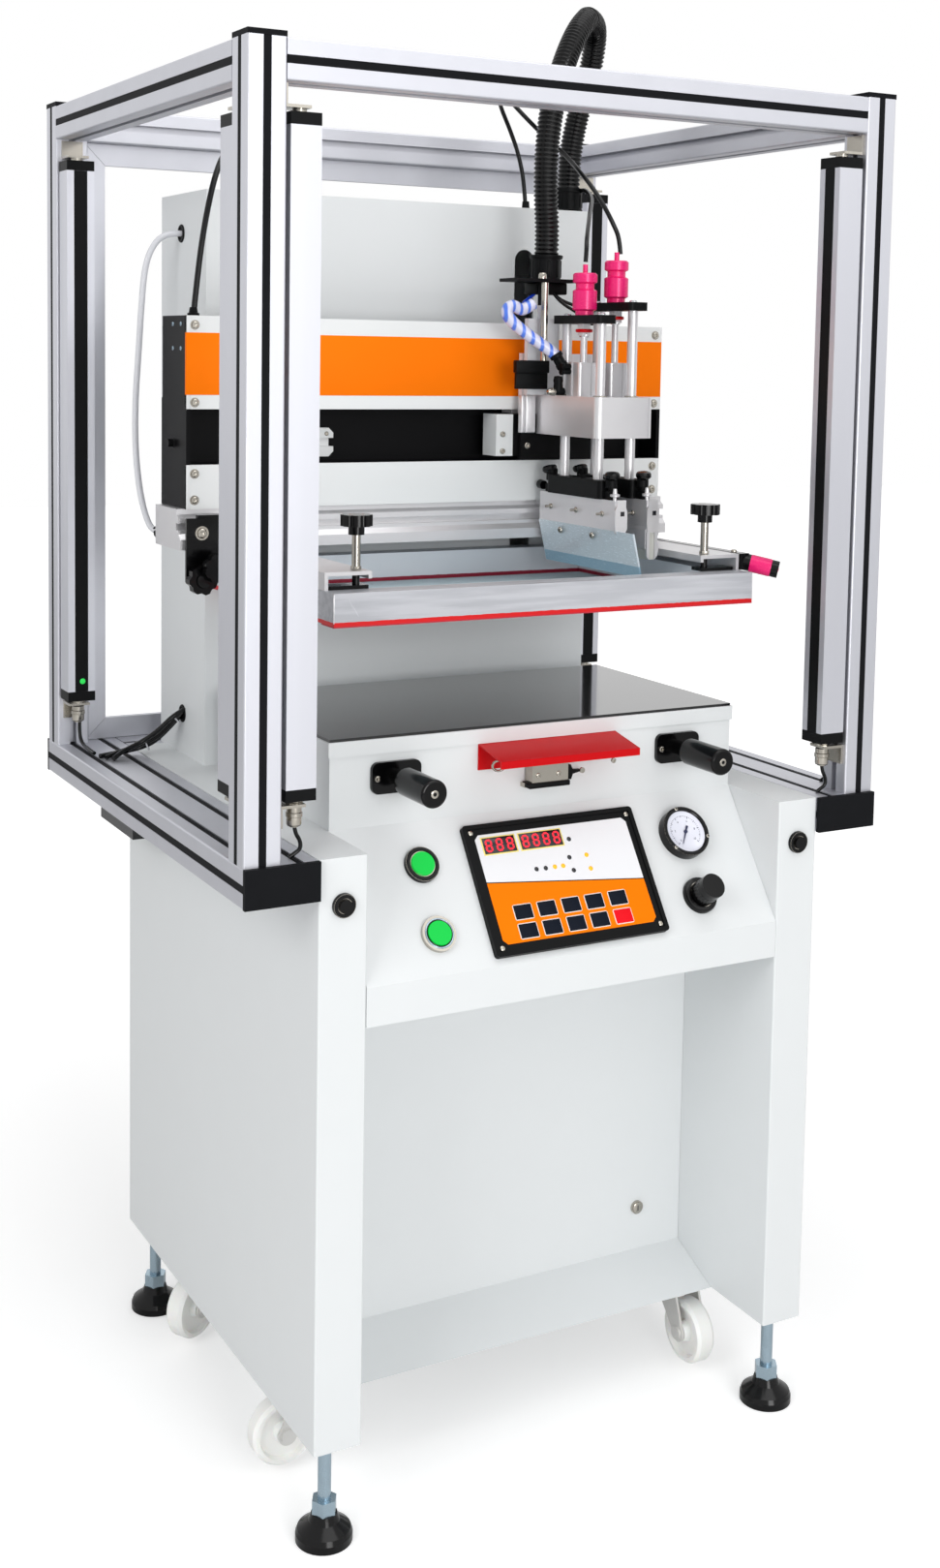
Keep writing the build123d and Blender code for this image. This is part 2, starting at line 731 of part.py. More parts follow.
def castor_wheel():
    """A nylon wheel with a hub, a thinner web and a rounded tread, on an axle along X."""
    bore = AXLE_R + WHEEL_BORE_FIT
    half = WHEEL_W / 2
    outline = Polyline(
        (bore, -HUB_W / 2),
        (HUB_R, -HUB_W / 2),
        (HUB_R + WHEEL_BEVEL, -WEB_W / 2),
        (WHEEL_R - TYRE_T, -WEB_W / 2),
        (WHEEL_R - TYRE_T + WHEEL_BEVEL, -half),
        (WHEEL_R - TREAD_BEVEL, -half),
        (WHEEL_R, -half + TREAD_EDGE),
        (WHEEL_R, half - TREAD_EDGE),
        (WHEEL_R - TREAD_BEVEL, half),
        (WHEEL_R - TYRE_T + WHEEL_BEVEL, half),
        (WHEEL_R - TYRE_T, WEB_W / 2),
        (HUB_R + WHEEL_BEVEL, WEB_W / 2),
        (HUB_R, HUB_W / 2),
        (bore, HUB_W / 2),
        (bore, -HUB_W / 2),
    )
    wheel = revolve(Plane.XY * make_face(outline), Axis.Y)
    return Pos(0, -TRAIL, AXLE_Z) * Rot(0, 0, 90) * wheel


def build_castors():
    """Four swivel castors below the cabinet, with their plates and kingpins."""
    plates = []
    for name, x, y, turn in CASTORS:
        place = Pos(x, y, 0) * Rot(0, 0, turn)
        save("castor_fork_" + name, place * castor_fork())
        save("castor_wheel_" + name, place * castor_wheel())
        bottom = CABINET_BOTTOM - CASTOR_PLATE_T
        plate = block(around(x, CASTOR_PLATE), around(y, CASTOR_PLATE), (bottom, CABINET_BOTTOM))
        pin_l = SWIVEL_GAP + SWIVEL_H + CROWN_T
        plates.append(plate + rod(KINGPIN_R, (x, y, bottom - pin_l), (0, 0, 1), pin_l))
    return plates


def build_console():
    """What is mounted on the sloping console and on the two pedestals."""
    panel = extrude(SLOPE * Pos(PANEL_U, PANEL_V) * RectangleRounded(PANEL_W, PANEL_H, PANEL_R), PANEL_T)
    face = Rectangle(PANEL_W - 2 * PANEL_RIM, PANEL_H - 2 * PANEL_RIM)
    panel -= extrude(SLOPE.offset(PANEL_T - PANEL_SINK) * Pos(PANEL_U, PANEL_V) * face, PANEL_SINK)
    save("control_panel", panel)

    rings = []
    for name, plane, u, v, radius, bezel_r, bezel_h in BUTTONS:
        ring = disc(plane, u, v, bezel_r, 0, bezel_h) - disc(plane, u, v, radius + BUTTON_FIT, 0, bezel_h)
        rings.append(ring)
        save(name, disc(plane, u, v, radius, -BUTTON_SINK, BUTTON_H))
    ring = disc(SLOPE, REGULATOR_U, REGULATOR_V, REGULATOR_RING_R, 0, BEZEL_H)
    ring -= disc(SLOPE, REGULATOR_U, REGULATOR_V, SPINDLE_R + SPINDLE_FIT, 0, BEZEL_H)
    rings.append(ring)
    lock_y = FRONT + KNEE_D
    rings.append(rod(LOCK_R, (LOCK_X, lock_y, LOCK_Z), (0, -1, 0), LOCK_T))
    gauge = disc(SLOPE, GAUGE_U, GAUGE_V, GAUGE_R, 0, GAUGE_T)
    gauge -= disc(SLOPE, GAUGE_U, GAUGE_V, GAUGE_R - GAUGE_RIM, GAUGE_T - GAUGE_RIM, GAUGE_T)
    save("panel_bezels", *rings, gauge)

    low = BEZEL_H + KNOB_LIFT
    knob = disc(SLOPE, REGULATOR_U, REGULATOR_V, REGULATOR_R, low, low + REGULATOR_L)
    knob += disc(SLOPE, REGULATOR_U, REGULATOR_V, SPINDLE_R, -BUTTON_SINK, low)
    save("regulator_knob", knob)


def build_table():
    """The printing table with its grips, red sensing flap and switch."""
    front = FRONT + SLOPE_D
    box_top = DECK + TABLE_BOX_H
    half = TABLE_W / 2
    base = block((-half, half), (front, front + TABLE_D), (DECK, box_top))
    slab_x = (-half - TABLE_EDGE, half + TABLE_EDGE)
    slab_y = (front - TABLE_EDGE, front + TABLE_D + TABLE_EDGE)
    slab = block(slab_x, slab_y, (box_top, box_top + SLAB_H))
    save("table_box", base + slab)
    top = block((-half, half), (front, front + TABLE_D), (box_top + SLAB_H, box_top + SLAB_H + TOP_T))
    save("table_top", top)

    grips = []
    for side in (-1, 1):
        plane = Plane((side * GRIP_X, front, GRIP_Z), x_dir=(1, 0, 0), z_dir=(0, -1, 0))
        grip = extrude(plane * RectangleRounded(GRIP_PLATE_W, GRIP_PLATE_H, GRIP_PLATE_R), GRIP_PLATE_T)
        grip += extrude(plane * Circle(GRIP_NECK_R), GRIP_PLATE_T + GRIP_NECK_L)
        handle = extrude(plane.offset(GRIP_PLATE_T + GRIP_NECK_L) * Circle(GRIP_R), GRIP_L)
        ends = handle.edges().filter_by(GeomType.CIRCLE)
        grips.append(grip + fillet(ends, GRIP_EDGE_R))
    save("table_grips", *grips)

    top_z = box_top
    y = front
    points = (
        (y, top_z - RED_FLANGE_H),
        (y, top_z),
        (y - RED_REACH, top_z - RED_DROP),
        (y - RED_REACH, top_z - RED_DROP - RED_LIP),
        (y - RED_REACH + RED_T, top_z - RED_DROP - RED_LIP),
        (y - RED_REACH + RED_T, top_z - RED_DROP - RED_BEND),
        (y - RED_T, top_z - RED_T),
        (y - RED_T, top_z - RED_FLANGE_H),
    )
    save("red_cover", side_profile(points, RED_X - RED_W / 2, RED_X + RED_W / 2))

    high = top_z - RED_FLANGE_H + SWITCH_GAP
    x = around(SWITCH_X, SWITCH_W)
    y_switch = (front - RED_T - SWITCH_D, front - RED_T)
    body = block(x, y_switch, (high - SWITCH_H, high))
    wide = (x[0] - SWITCH_BASE_T, x[1] + SWITCH_BASE_T)
    body += block(wide, (front - RED_T - SWITCH_D / 2, front), (high - SWITCH_H - SWITCH_BASE_T, high - SWITCH_H))
    save("micro_switch", body)


def build_column():
    """The sheet-metal column, with two slots in its front and a guide shaft behind each."""
    front = FRONT + COLUMN_FRONT
    back = front + COLUMN_D
    half = COLUMN_W / 2
    face = block((-half, half), (front, front + WALL), (DECK, COLUMN_TOP))
    plane = Plane((0, front + WALL, 0), x_dir=(1, 0, 0), z_dir=(0, -1, 0))
    slot_h = SLOT_TOP - SLOT_BOTTOM
    for side in (-1, 1):
        slot = SlotOverall(slot_h, SLOT_W, rotation=90)
        face -= extrude(plane * Pos(side * GUIDE_X, (SLOT_TOP + SLOT_BOTTOM) / 2) * slot, WALL)
    save("column_front", face)

    outer = block((-half, half), (front + WALL, back), (DECK, COLUMN_TOP))
    inner = block((-half + WALL, half - WALL), (front + WALL, back - WALL), (DECK, COLUMN_TOP - WALL))
    save("column_shell", outer - inner)

    shafts = []
    guide_y = front + GUIDE_DEPTH
    for side in (-1, 1):
        x = side * GUIDE_X
        guide = rod(GUIDE_R, (x, guide_y, GUIDE_LOW), (0, 0, 1), GUIDE_HIGH - GUIDE_LOW)
        for end in (GUIDE_LOW, GUIDE_HIGH - GUIDE_BLOCK_H):
            y = (front + WALL, guide_y + GUIDE_BLOCK / 2)
            guide += block(around(x, GUIDE_BLOCK), y, (end, end + GUIDE_BLOCK_H))
        shafts.append(guide)
    save("column_guides", *shafts)


def build_head():
    """The beam that rises and falls: housing, front plates, runners, the rail and the fork below it."""
    half = HEAD_W / 2
    plate_back = FRONT + HEAD_FRONT + HEAD_PLATE_T
    back = FRONT + HEAD_BACK
    recess = plate_back + RECESS_D
    points = (
        (plate_back, HEAD_BOTTOM),
        (back, HEAD_BOTTOM),
        (back, HEAD_TOP),
        (plate_back, HEAD_TOP),
        (plate_back, POCKET_TOP),
        (recess, POCKET_TOP),
        (recess, RECESS_LOW),
        (plate_back, RECESS_LOW),
    )
    housing = side_profile(points, -half + END_PLATE_T, half - END_PLATE_T)
    for low in (-half, half - END_PLATE_T):
        y = (plate_back - HEAD_PLATE_T, back)
        housing += block((low, low + END_PLATE_T), y, (HEAD_BOTTOM, HEAD_TOP))
    save("head_housing", housing)

    inner = half - END_PLATE_T - FIT
    y = (plate_back - HEAD_PLATE_T, plate_back)
    upper = block((-inner, inner), y, (RECESS_HIGH, HEAD_TOP))
    lower = block((-inner, inner), y, (HEAD_BOTTOM, RECESS_LOW))
    save("head_front_plates", upper, lower)

    rail = block((-inner, inner), (recess - RAIL_T, recess), around(RAIL_Z, RAIL_W))
    neck = (recess - RAIL_T / 2, recess - RAIL_T / 4)
    for side in (-1, 1):
        cut = sorted((RAIL_Z + side * RAIL_W / 2, RAIL_Z + side * RAIL_NECK / 2))
        rail -= block((-inner, inner), neck, cut)

    runners = []
    guide_y = FRONT + COLUMN_FRONT + GUIDE_DEPTH
    for side in (-1, 1):
        x = side * GUIDE_X
        z = (RUNNER_LOW, RUNNER_HIGH)
        runner = block(around(x, RUNNER_W), around(guide_y, RUNNER_D), z)
        runner += block(around(x, TONGUE_W), (back, guide_y), z)
        runner -= rod(GUIDE_R + GUIDE_FIT, (x, guide_y, RUNNER_LOW), (0, 0, 1), RUNNER_HIGH - RUNNER_LOW)
        runners.append(runner)
    fork_x = (FORK_RIGHT - FORK_L, FORK_RIGHT)
    fork = block(fork_x, (recess - FORK_T, recess), around(FORK_Z, FORK_H))
    fork = chamfer(fork.edges().filter_by(Axis.Y).group_by(Axis.X)[-1], FORK_CHAMFER)
    fork -= block(fork_x, (recess - FORK_T, recess - FORK_T / 2), around(FORK_Z, FORK_SLOT))
    notch_x = (FORK_RIGHT - FORK_NOTCH, FORK_RIGHT)
    fork -= block(notch_x, (recess - FORK_T, recess), around(FORK_Z, FORK_SLOT))
    save("head_slides", rail, fork, *runners)


def star_knob(stud_length):
    """A star knob on a stud; the stud starts at the origin and the knob stands at its end."""
    star = Circle(CLAMP_KNOB_R)
    for lobe in range(CLAMP_LOBES):
        notch = Rot(0, 0, lobe * 360 / CLAMP_LOBES) * Pos(CLAMP_KNOB_R + NOTCH_R / 2, 0)
        star -= notch * Circle(NOTCH_R)
    knob = rod(CLAMP_STUD_R, (0, 0, 0), (0, 0, 1), stud_length)
    knob += rod(CLAMP_HUB_R, (0, 0, stud_length), (0, 0, 1), CLAMP_HUB_H)
    return knob + Pos(0, 0, stud_length + CLAMP_HUB_H) * extrude(star, CLAMP_KNOB_H)


def build_screen():
    """The stepped bar below the head, its arms and clamps, and the screen that they hold."""
    half = BAR_W / 2
    top = HEAD_BOTTOM
    low = top - BAR_H
    back = FRONT + HEAD_BACK - BAR_SETBACK
    front = back - BAR_D
    groove_low = low + BAR_LIP + BAR_SLOPE + BAR_LAND
    groove_high = groove_low + BAR_GROOVE_W
    points = (
        (front + BAR_CHAMFER, top),
        (back, top),
        (back, low),
        (front, low),
        (front, low + BAR_LIP),
        (front + BAR_STEP, low + BAR_LIP + BAR_SLOPE),
        (front + BAR_STEP, groove_low),
        (front + BAR_STEP + BAR_GROOVE_D, groove_low),
        (front + BAR_STEP + BAR_GROOVE_D, groove_high),
        (front + BAR_STEP, groove_high),
        (front + BAR_STEP, groove_high + BAR_SLOPE),
        (front + BAR_CHAMFER, groove_high + BAR_SLOPE + BAR_LAND),
    )
    save("screen_bar", side_profile(points, -half, half))

    screen_top = SCREEN_BOTTOM + SCREEN_H
    arms = []
    clamps = []
    for side in (-1, 1):
        outer = side * (SCREEN_W / 2 - DOOR_GAP)
        inner = outer - side * ARM_W
        arm_points = (
            (outer, screen_top),
            (outer, low - FIT),
            (inner, low - FIT),
            (inner, low - FIT - 2 * ARM_WALL),
            (inner + side * ARM_WALL, low - FIT - 2 * ARM_WALL),
            (inner + side * ARM_WALL, low - FIT - ARM_WALL),
            (outer - side * ARM_WALL, low - FIT - ARM_WALL),
            (outer - side * ARM_WALL, screen_top),
        )
        arm = along_y(arm_points, FRONT + ARM_FRONT, back - FRONT - ARM_FRONT)
        stud_x = side * CLAMP_STUD_X
        for stud_y in (FRONT + CLAMP_FRONT, front - CLAMP_KNOB_R - CLAMP_REAR_GAP):
            arm -= rod(CLAMP_STUD_R + STUD_FIT, (stud_x, stud_y, screen_top), (0, 0, 1), low - screen_top)
            pad_x = around(stud_x + side * PAD_SHIFT, PAD_L)
            pad = block(pad_x, around(stud_y, PAD_W), (screen_top, screen_top + PAD_T))
            clamps.append(pad + Pos(stud_x, stud_y, screen_top) * star_knob(CLAMP_STUD_L))
        arms.append(arm)
    save("screen_arms", *arms)

    plate_x = around(CLAMP_PLATE_X - half, CLAMP_PLATE_W)
    plate_z = (low - CLAMP_PLATE_DROP, top - CLAMP_PLATE_T)
    clamp_front = front - CLAMP_PLATE_T
    plate = block(plate_x, (clamp_front, front), plate_z)
    middle = (plate_x[0] + plate_x[1]) / 2
    turned = Pos(middle, clamp_front, plate_z[0] + CLAMP_KNOB_R / 2) * Rot(90, 0, 0)
    clamps.append(plate + turned * star_knob(CLAMP_PLATE_STUD_L))
    rail_x = (SCREEN_W / 2 + DOOR_GAP, SCREEN_W / 2 + DOOR_GAP + LEVER_RAIL_W)
    rail = block(rail_x, (FRONT + ARM_FRONT, front), (screen_top, low))
    rail += block(rail_x, (front, back), (low - ARM_WALL - FIT, low - FIT))
    start = (rail_x[1] - LEVER_R / 2, FRONT + ARM_FRONT + LEVER_R, (screen_top + low) / 2)
    clamps.append(rail + rod(LEVER_R, start, LEVER_AXIS, LEVER_L))
    save("screen_clamps", *clamps)

    half_w = SCREEN_W / 2
    y0 = FRONT + SCREEN_FRONT
    y1 = FRONT + SCREEN_BACK
    mid_y = (y0 + y1) / 2
    half_d = (y1 - y0) / 2
    rails = []
    for length, reach, turn in ((half_w, half_d, 0), (half_d, half_w, 90)):
        for side in (0, 180):
            inner = length - SCREEN_BAR_W
            outline = Polygon(
                (-length + MITRE_GAP, -reach),
                (length - MITRE_GAP, -reach),
                (inner - MITRE_GAP, -reach + SCREEN_BAR_W),
                (-inner + MITRE_GAP, -reach + SCREEN_BAR_W),
                align=None,
            )
            rails.append(Pos(0, mid_y, SCREEN_BOTTOM) * Rot(0, 0, turn + side) * extrude(outline, SCREEN_H))
    save("screen_frame", *rails)
    mesh = block((-half_w, half_w), (y0, y1), (SCREEN_BOTTOM - MESH_T, SCREEN_BOTTOM))
    save("screen_mesh", mesh)


def rod_places(x):
    """The two guide rods of a print unit."""
    return [(x, FRONT + ROD_FRONT + i * ROD_PITCH) for i in range(2)]


FLOOD_X = BLOCK_X - UNIT_PITCH / 2
SQUEEGEE_X = BLOCK_X + UNIT_PITCH / 2
UNIT_Y = FRONT + ROD_FRONT + ROD_PITCH / 2


def build_carriage():
    """The carriage: back plate on rail bearings, guide block, cylinders and hose bracket."""
    top = BLOCK_BOTTOM + BLOCK_H
    body = block(
        around(BLOCK_X, BLOCK_W),
        (FRONT + BLOCK_FRONT, FRONT + BLOCK_BACK),
        (BLOCK_BOTTOM, top),
    )
    body = fillet(body.edges().filter_by(Axis.Z), BLOCK_R)
    for x in (FLOOD_X, SQUEEGEE_X):
        for px, py in rod_places(x):
            body -= rod(ROD_R + ROD_FIT, (px, py, BLOCK_BOTTOM), (0, 0, 1), BLOCK_H)
        body -= rod(PISTON_R + ROD_FIT, (x, UNIT_Y, BLOCK_BOTTOM), (0, 0, 1), BLOCK_H)
    save("carriage_block", body)

    y0 = FRONT + BLOCK_BACK
    plate = block(around(BLOCK_X, PLATE_W), (y0, y0 + PLATE_T), (PLATE_BOTTOM, PLATE_TOP))
    plate_back = FRONT + HEAD_FRONT + HEAD_PLATE_T
    rail_back = plate_back + RECESS_D
    web_x = (BLOCK_X - WEB_REACH, BLOCK_X + PLATE_W / 2)
    web_y = (y0 + PLATE_T, rail_back - FORK_T - RUN_GAP)
    plate += block(web_x, web_y, (RECESS_LOW + SLOT_GAP, RECESS_HIGH - SLOT_GAP))
    for side in (-1, 1):
        x = around(BLOCK_X + side * (PLATE_W - BEARING_W) / 2, BEARING_W)
        bearing = block(x, (plate_back + RUN_GAP, rail_back - RAIL_T / 2), around(RAIL_Z, BEARING_H))
        rail_y = (rail_back - RAIL_T - RAIL_FIT, rail_back)
        bearing -= block(x, rail_y, around(RAIL_Z, RAIL_W + 2 * RAIL_FIT))
        plate += bearing
    save("carriage_bracket", plate)

    outline = RectangleRounded(CYLINDER_W, CYLINDER_W, CYLINDER_GROOVE) - Circle(PISTON_R + ROD_FIT)
    for turn in range(4):
        notch = Rectangle(2 * CYLINDER_GROOVE, CYLINDER_GROOVE)
        outline -= Rot(0, 0, 90 * turn) * Pos(0, CYLINDER_W / 2) * notch
    cylinders = [Pos(x, UNIT_Y, top) * extrude(outline, CYLINDER_H) for x in (FLOOD_X, SQUEEGEE_X)]
    save("carriage_cylinders", *cylinders)

    y = around(FRONT + STAND_Y, PLATE_T)
    stand = block(around(STAND_X, STAND_W), y, (top, STAND_TOP))
    stand += block((STAND_X - STAND_W / 2, BLOCK_X), y, (top, top + PLATE_T))
    stand += rod(ROD_R, (STAND_X, FRONT + STAND_Y, STAND_TOP), (0, 0, 1), HOSE_PLATE_Z - STAND_TOP)
    hose_plate = block(
        (STAND_X - STAND_W, HOSE_X + HOSE_SLEEVE_R + PLATE_T),
        around(FRONT + STAND_Y + PLATE_T, STAND_W),
        (HOSE_PLATE_Z, HOSE_PLATE_Z + HOSE_PLATE_T),
    )
    hose_y = FRONT + HOSE_Y
    low = HOSE_PLATE_Z + HOSE_PLATE_T
    sleeve = rod(HOSE_SLEEVE_R, (HOSE_X, hose_y, low), (0, 0, 1), HOSE_SLEEVE_H)
    save("hose_stand", stand + hose_plate + sleeve)


def along_y(points, low, length):
    """An outline of (x, z) points, drawn out towards +Y."""
    plane = Plane((0, low, 0), x_dir=(1, 0, 0), z_dir=(0, -1, 0))
    return extrude(plane * Polygon(*points, align=None), length, dir=(0, 1, 0))


def build_unit(name, x, yoke_z, holder):
    """The parts that rise and fall together in one print unit, all but its blade."""
    rods = []
    for px, py in rod_places(x):
        rods.append(rod(ROD_R, (px, py, HOLDER_Z + HOLDER_BAR_H), (0, 0, 1), yoke_z - HOLDER_Z - HOLDER_BAR_H))
    piston_low = BLOCK_BOTTOM + BLOCK_H
    piston = rod(PISTON_R, (x, UNIT_Y, piston_low), (0, 0, 1), yoke_z - piston_low)
    clevis = Pos(x, UNIT_Y, yoke_z - CLEVIS_H) * Box(CLEVIS_W, CLEVIS_W, CLEVIS_H, align=UPWARD)
    rods.append(piston + clevis)

    yoke = Pos(x, UNIT_Y, yoke_z) * extrude(RectangleRounded(YOKE_W, YOKE_L, YOKE_R), YOKE_T)
    bar = extrude(RectangleRounded(HOLDER_BAR_W, HOLDER_BAR_L, YOKE_R), HOLDER_BAR_H)
    bar += extrude(Rectangle(EAR_W, HOLDER_BAR_L + 4 * KNOB_R), EAR_T)
    place = Pos(x, UNIT_Y, HOLDER_Z)
    knobs = []
    for end in (-1, 1):
        knob_y = end * (HOLDER_BAR_L / 2 + KNOB_R)
        knob = rod(KNOB_STUD_R, (0, knob_y, EAR_T), (0, 0, 1), KNOB_STUD_L)
        knob += rod(KNOB_R, (0, knob_y, EAR_T + KNOB_STUD_L), (0, 0, 1), KNOB_L)
        knobs.append(place * knob)
    save(name + "_clamps", yoke, place * bar, *knobs)

    body_z = ADJUSTER_FOOT_H + ADJUSTER_BODY_H
    cap_z = body_z + ADJUSTER_NECK_H
    cap_top = cap_z + ADJUSTER_CAP_H
    outline = Polyline(
        (0, 0),
        (ADJUSTER_NECK_R, 0),
        (ADJUSTER_NECK_R, ADJUSTER_FOOT_H),
        (ADJUSTER_R, ADJUSTER_FOOT_H + ADJUSTER_CHAMFER),
        (ADJUSTER_R, body_z - ADJUSTER_CHAMFER),
        (ADJUSTER_NECK_R, body_z),
        (ADJUSTER_NECK_R, cap_z),
        (ADJUSTER_R, cap_z + ADJUSTER_CHAMFER),
        (ADJUSTER_R, cap_top - ADJUSTER_CHAMFER),
        (ADJUSTER_R - ADJUSTER_CHAMFER, cap_top),
        (NIPPLE_R, cap_top),
        (NIPPLE_R, cap_top + NIPPLE_H),
        (0, cap_top + NIPPLE_H),
        (0, 0),
    )
    adjuster = Pos(x, UNIT_Y, yoke_z + YOKE_T) * revolve(Plane.XZ * make_face(outline), Axis.Z)
    save(name + "_adjuster", adjuster)

    save(name + "_holder", *rods, along_y(holder, FRONT + HOLDER_FRONT, HOLDER_L))


def build_units():
    """The flood blade unit and the squeegee unit."""
    low = HOLDER_Z - HOLDER_H
    left = FLOOD_X - HOLDER_W / 2
    right = FLOOD_X + HOLDER_W / 2
    lean = BLADE_LEAN / (low - BLADE_BOTTOM)
    flood = (
        (left, low),
        (left, HOLDER_Z),
        (right, HOLDER_Z),
        (right, HOLDER_Z - HOLDER_NOSE_H),
        (right - JAW_T, HOLDER_Z - HOLDER_WAIST_H),
        (right - JAW_T, low + JAW_T),
        (right, low),
        (left + BLADE_T + JAW_T + JAW_H * lean, low - JAW_H),
        (left + BLADE_T + JAW_H * lean, low - JAW_H),
        (left + BLADE_T, low),
    )
    build_unit("flood", FLOOD_X, FLOOD_YOKE_Z, flood)
    blade = (
        (left, low),
        (left + BLADE_T, low),
        (left + BLADE_T + BLADE_LEAN, BLADE_BOTTOM),
        (left + BLADE_LEAN, BLADE_BOTTOM),
    )
    save("flood_blade", along_y(blade, FRONT + BLADE_FRONT, BLADE_L))

    half = RUBBER_T / 2
    outer = half + JAW_T
    top = HOLDER_W / 2
    x = SQUEEGEE_X
    squeegee = (
        (x - outer, low - JAW_H),
        (x - outer, low),
        (x - top, low + JAW_T),
        (x - top, HOLDER_Z),
        (x + top, HOLDER_Z),
        (x + top, low + JAW_T),
        (x + outer, low),
        (x + outer, low - JAW_H),
        (x + half, low - JAW_H),
        (x + half, low),
        (x - half, low),
        (x - half, low - JAW_H),
    )
    build_unit("squeegee", x, SQUEEGEE_YOKE_Z, squeegee)
    y = (FRONT + HOLDER_FRONT, FRONT + HOLDER_FRONT + HOLDER_L)
    save("squeegee_rubber", block((x - half, x + half), y, (RUBBER_BOTTOM, low)))


def tube(node, points, radius):
    """A cord's solid: straight runs joined by the largest arcs that they allow."""
    corners = [Vector(*point) for point in points]
    radii = []
    for before, here, after in zip(corners, corners[1:], corners[2:]):
        turn = math.radians((here - before).get_angle(after - here))
        shorter = min((here - before).length, (after - here).length)
        radii.append(0.45 * shorter / math.tan(turn / 2))
    print(node, "radii", [round(r) for r in radii])
    path = FilletPolyline(*points, radius=radii)
    start = Plane(path @ 0, z_dir=path % 0)
    solid = sweep(start * Circle(radius), path)
    print(node, "volume ratio", round(solid.volume / (math.pi * radius**2 * path.length), 4))
    return solid


HOSE_FRONT_ROUTE = (
    (HOSE_X, FRONT + HOSE_Y, HOSE_PLATE_Z + HOSE_PLATE_T + HOSE_SLEEVE_H),
    (HOSE_X, FRONT + HOSE_Y, 1400),
    (139, -1, 1455),
    (147, 3, 1510),
    (156, 9, 1560),
    (161, 12, 1600.4),
    (170.2, 26.7, 1630.6),
    (186.3, 52.3, 1648),
    (195.5, 67, 1648),
)
HOSE_REAR_ROUTE = (
    (195.5, 67, 1648),
    (204.7, 81.7, 1648),
    (220.8, 107.3, 1630.6),
    (230, 122, 1600.4),
    (236, 127, 1560),
    (241, 131, 1520),
    (244, 130, 1478),
    (244, 130, COLUMN_TOP + HOSE_SLEEVE_H),
)


def build_hoses():
    """The corrugated hose that loops from the carriage to the top of the column."""
    save("hose_front", tube("hose_front", HOSE_FRONT_ROUTE, HOSE_R))
    x, y, z = HOSE_REAR_ROUTE[-1]
    save("hose_rear", tube("hose_rear", HOSE_REAR_ROUTE, HOSE_R))
    save("hose_socket", rod(HOSE_SLEEVE_R, (x, y, COLUMN_TOP), (0, 0, 1), HOSE_SLEEVE_H))


build_frame()
build_rear_panel_frame()
build_curtains()
build_cabinet()
save("under_mounts", *build_feet(), *build_castors())
build_console()
build_table()
build_column()
build_head()
build_screen()
build_carriage()
build_units()
build_hoses()
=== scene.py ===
import math

import bmesh
import bpy
from bpy.props import FloatProperty, FloatVectorProperty, PointerProperty
from mathutils import Matrix, Vector


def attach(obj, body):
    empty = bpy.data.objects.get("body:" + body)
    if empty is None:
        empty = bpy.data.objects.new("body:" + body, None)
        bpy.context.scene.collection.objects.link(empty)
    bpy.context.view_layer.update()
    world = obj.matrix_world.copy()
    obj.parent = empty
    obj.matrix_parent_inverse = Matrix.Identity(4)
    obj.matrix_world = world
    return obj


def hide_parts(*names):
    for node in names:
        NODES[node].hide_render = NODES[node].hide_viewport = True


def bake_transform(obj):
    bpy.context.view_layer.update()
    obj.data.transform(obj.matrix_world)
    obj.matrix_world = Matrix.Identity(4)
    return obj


bl_info = {
    "name": "Screen printing machine",
    "version": (1, 0, 0),
    "blender": (4, 5, 0),
    "location": "3D View > Sidebar > Machine",
    "description": "Dresses a screen printing machine in its safety frame",
    "category": "Object",
}

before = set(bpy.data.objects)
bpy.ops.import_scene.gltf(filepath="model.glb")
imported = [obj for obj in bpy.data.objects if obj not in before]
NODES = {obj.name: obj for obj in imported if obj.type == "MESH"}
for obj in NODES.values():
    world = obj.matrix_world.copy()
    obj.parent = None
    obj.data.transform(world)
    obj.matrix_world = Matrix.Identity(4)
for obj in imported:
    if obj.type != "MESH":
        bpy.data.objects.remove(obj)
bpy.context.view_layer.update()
MM = 0.001
MATERIALS = {}


# Colours and shader nodes

X, Y, Z = range(3)  # the axes of an object's place
WAVE_PERIOD = math.pi / 10  # metres between the bands of a wave texture of scale 1
RAGGED_SCALE = 120.0  # waves per metre along a ragged edge
CLOUD_GRAINS = 40  # how many grains wide the clouds in a colour are
RELIEF_SHARE = 0.6  # how strongly a finish's grain bumps its surface


def colour(code):
    """An sRGB hex colour as linear RGBA."""
    parts = [int(code[i : i + 2], 16) / 255 for i in (1, 3, 5)]
    return [c / 12.92 if c <= 0.04045 else ((c + 0.055) / 1.055) ** 2.4 for c in parts] + [1.0]


def wire(tree, node, **inputs):
    """Set a node's inputs, or link them to other nodes' outputs; in0, in1 and so on go by number."""
    for key, value in inputs.items():
        numbered = key[:2] == "in" and key[2:].isdigit()
        socket = node.inputs[int(key[2:]) if numbered else key.replace("_", " ")]
        if isinstance(value, bpy.types.NodeSocket):
            tree.links.new(value, socket)
        else:
            socket.default_value = value
    return node


def add(tree, kind, settings=None, **inputs):
    """Add one shader node with its settings and wire its inputs."""
    made = tree.nodes.new("ShaderNode" + kind)
    for key, value in (settings or {}).items():
        setattr(made, key, value)
    return wire(tree, made, **inputs)


def blended(tree, share, low, high):
    """A colour between two others, by a share."""
    return add(tree, "Mix", {"data_type": "RGBA"}, in0=share, in6=low, in7=high).outputs[2]


def worked(tree, operation, *values, clamp=False):
    """The result of arithmetic on values and other nodes' outputs."""
    inputs = {f"in{i}": value for i, value in enumerate(values)}
    return add(tree, "Math", {"operation": operation, "use_clamp": clamp}, **inputs).outputs[0]


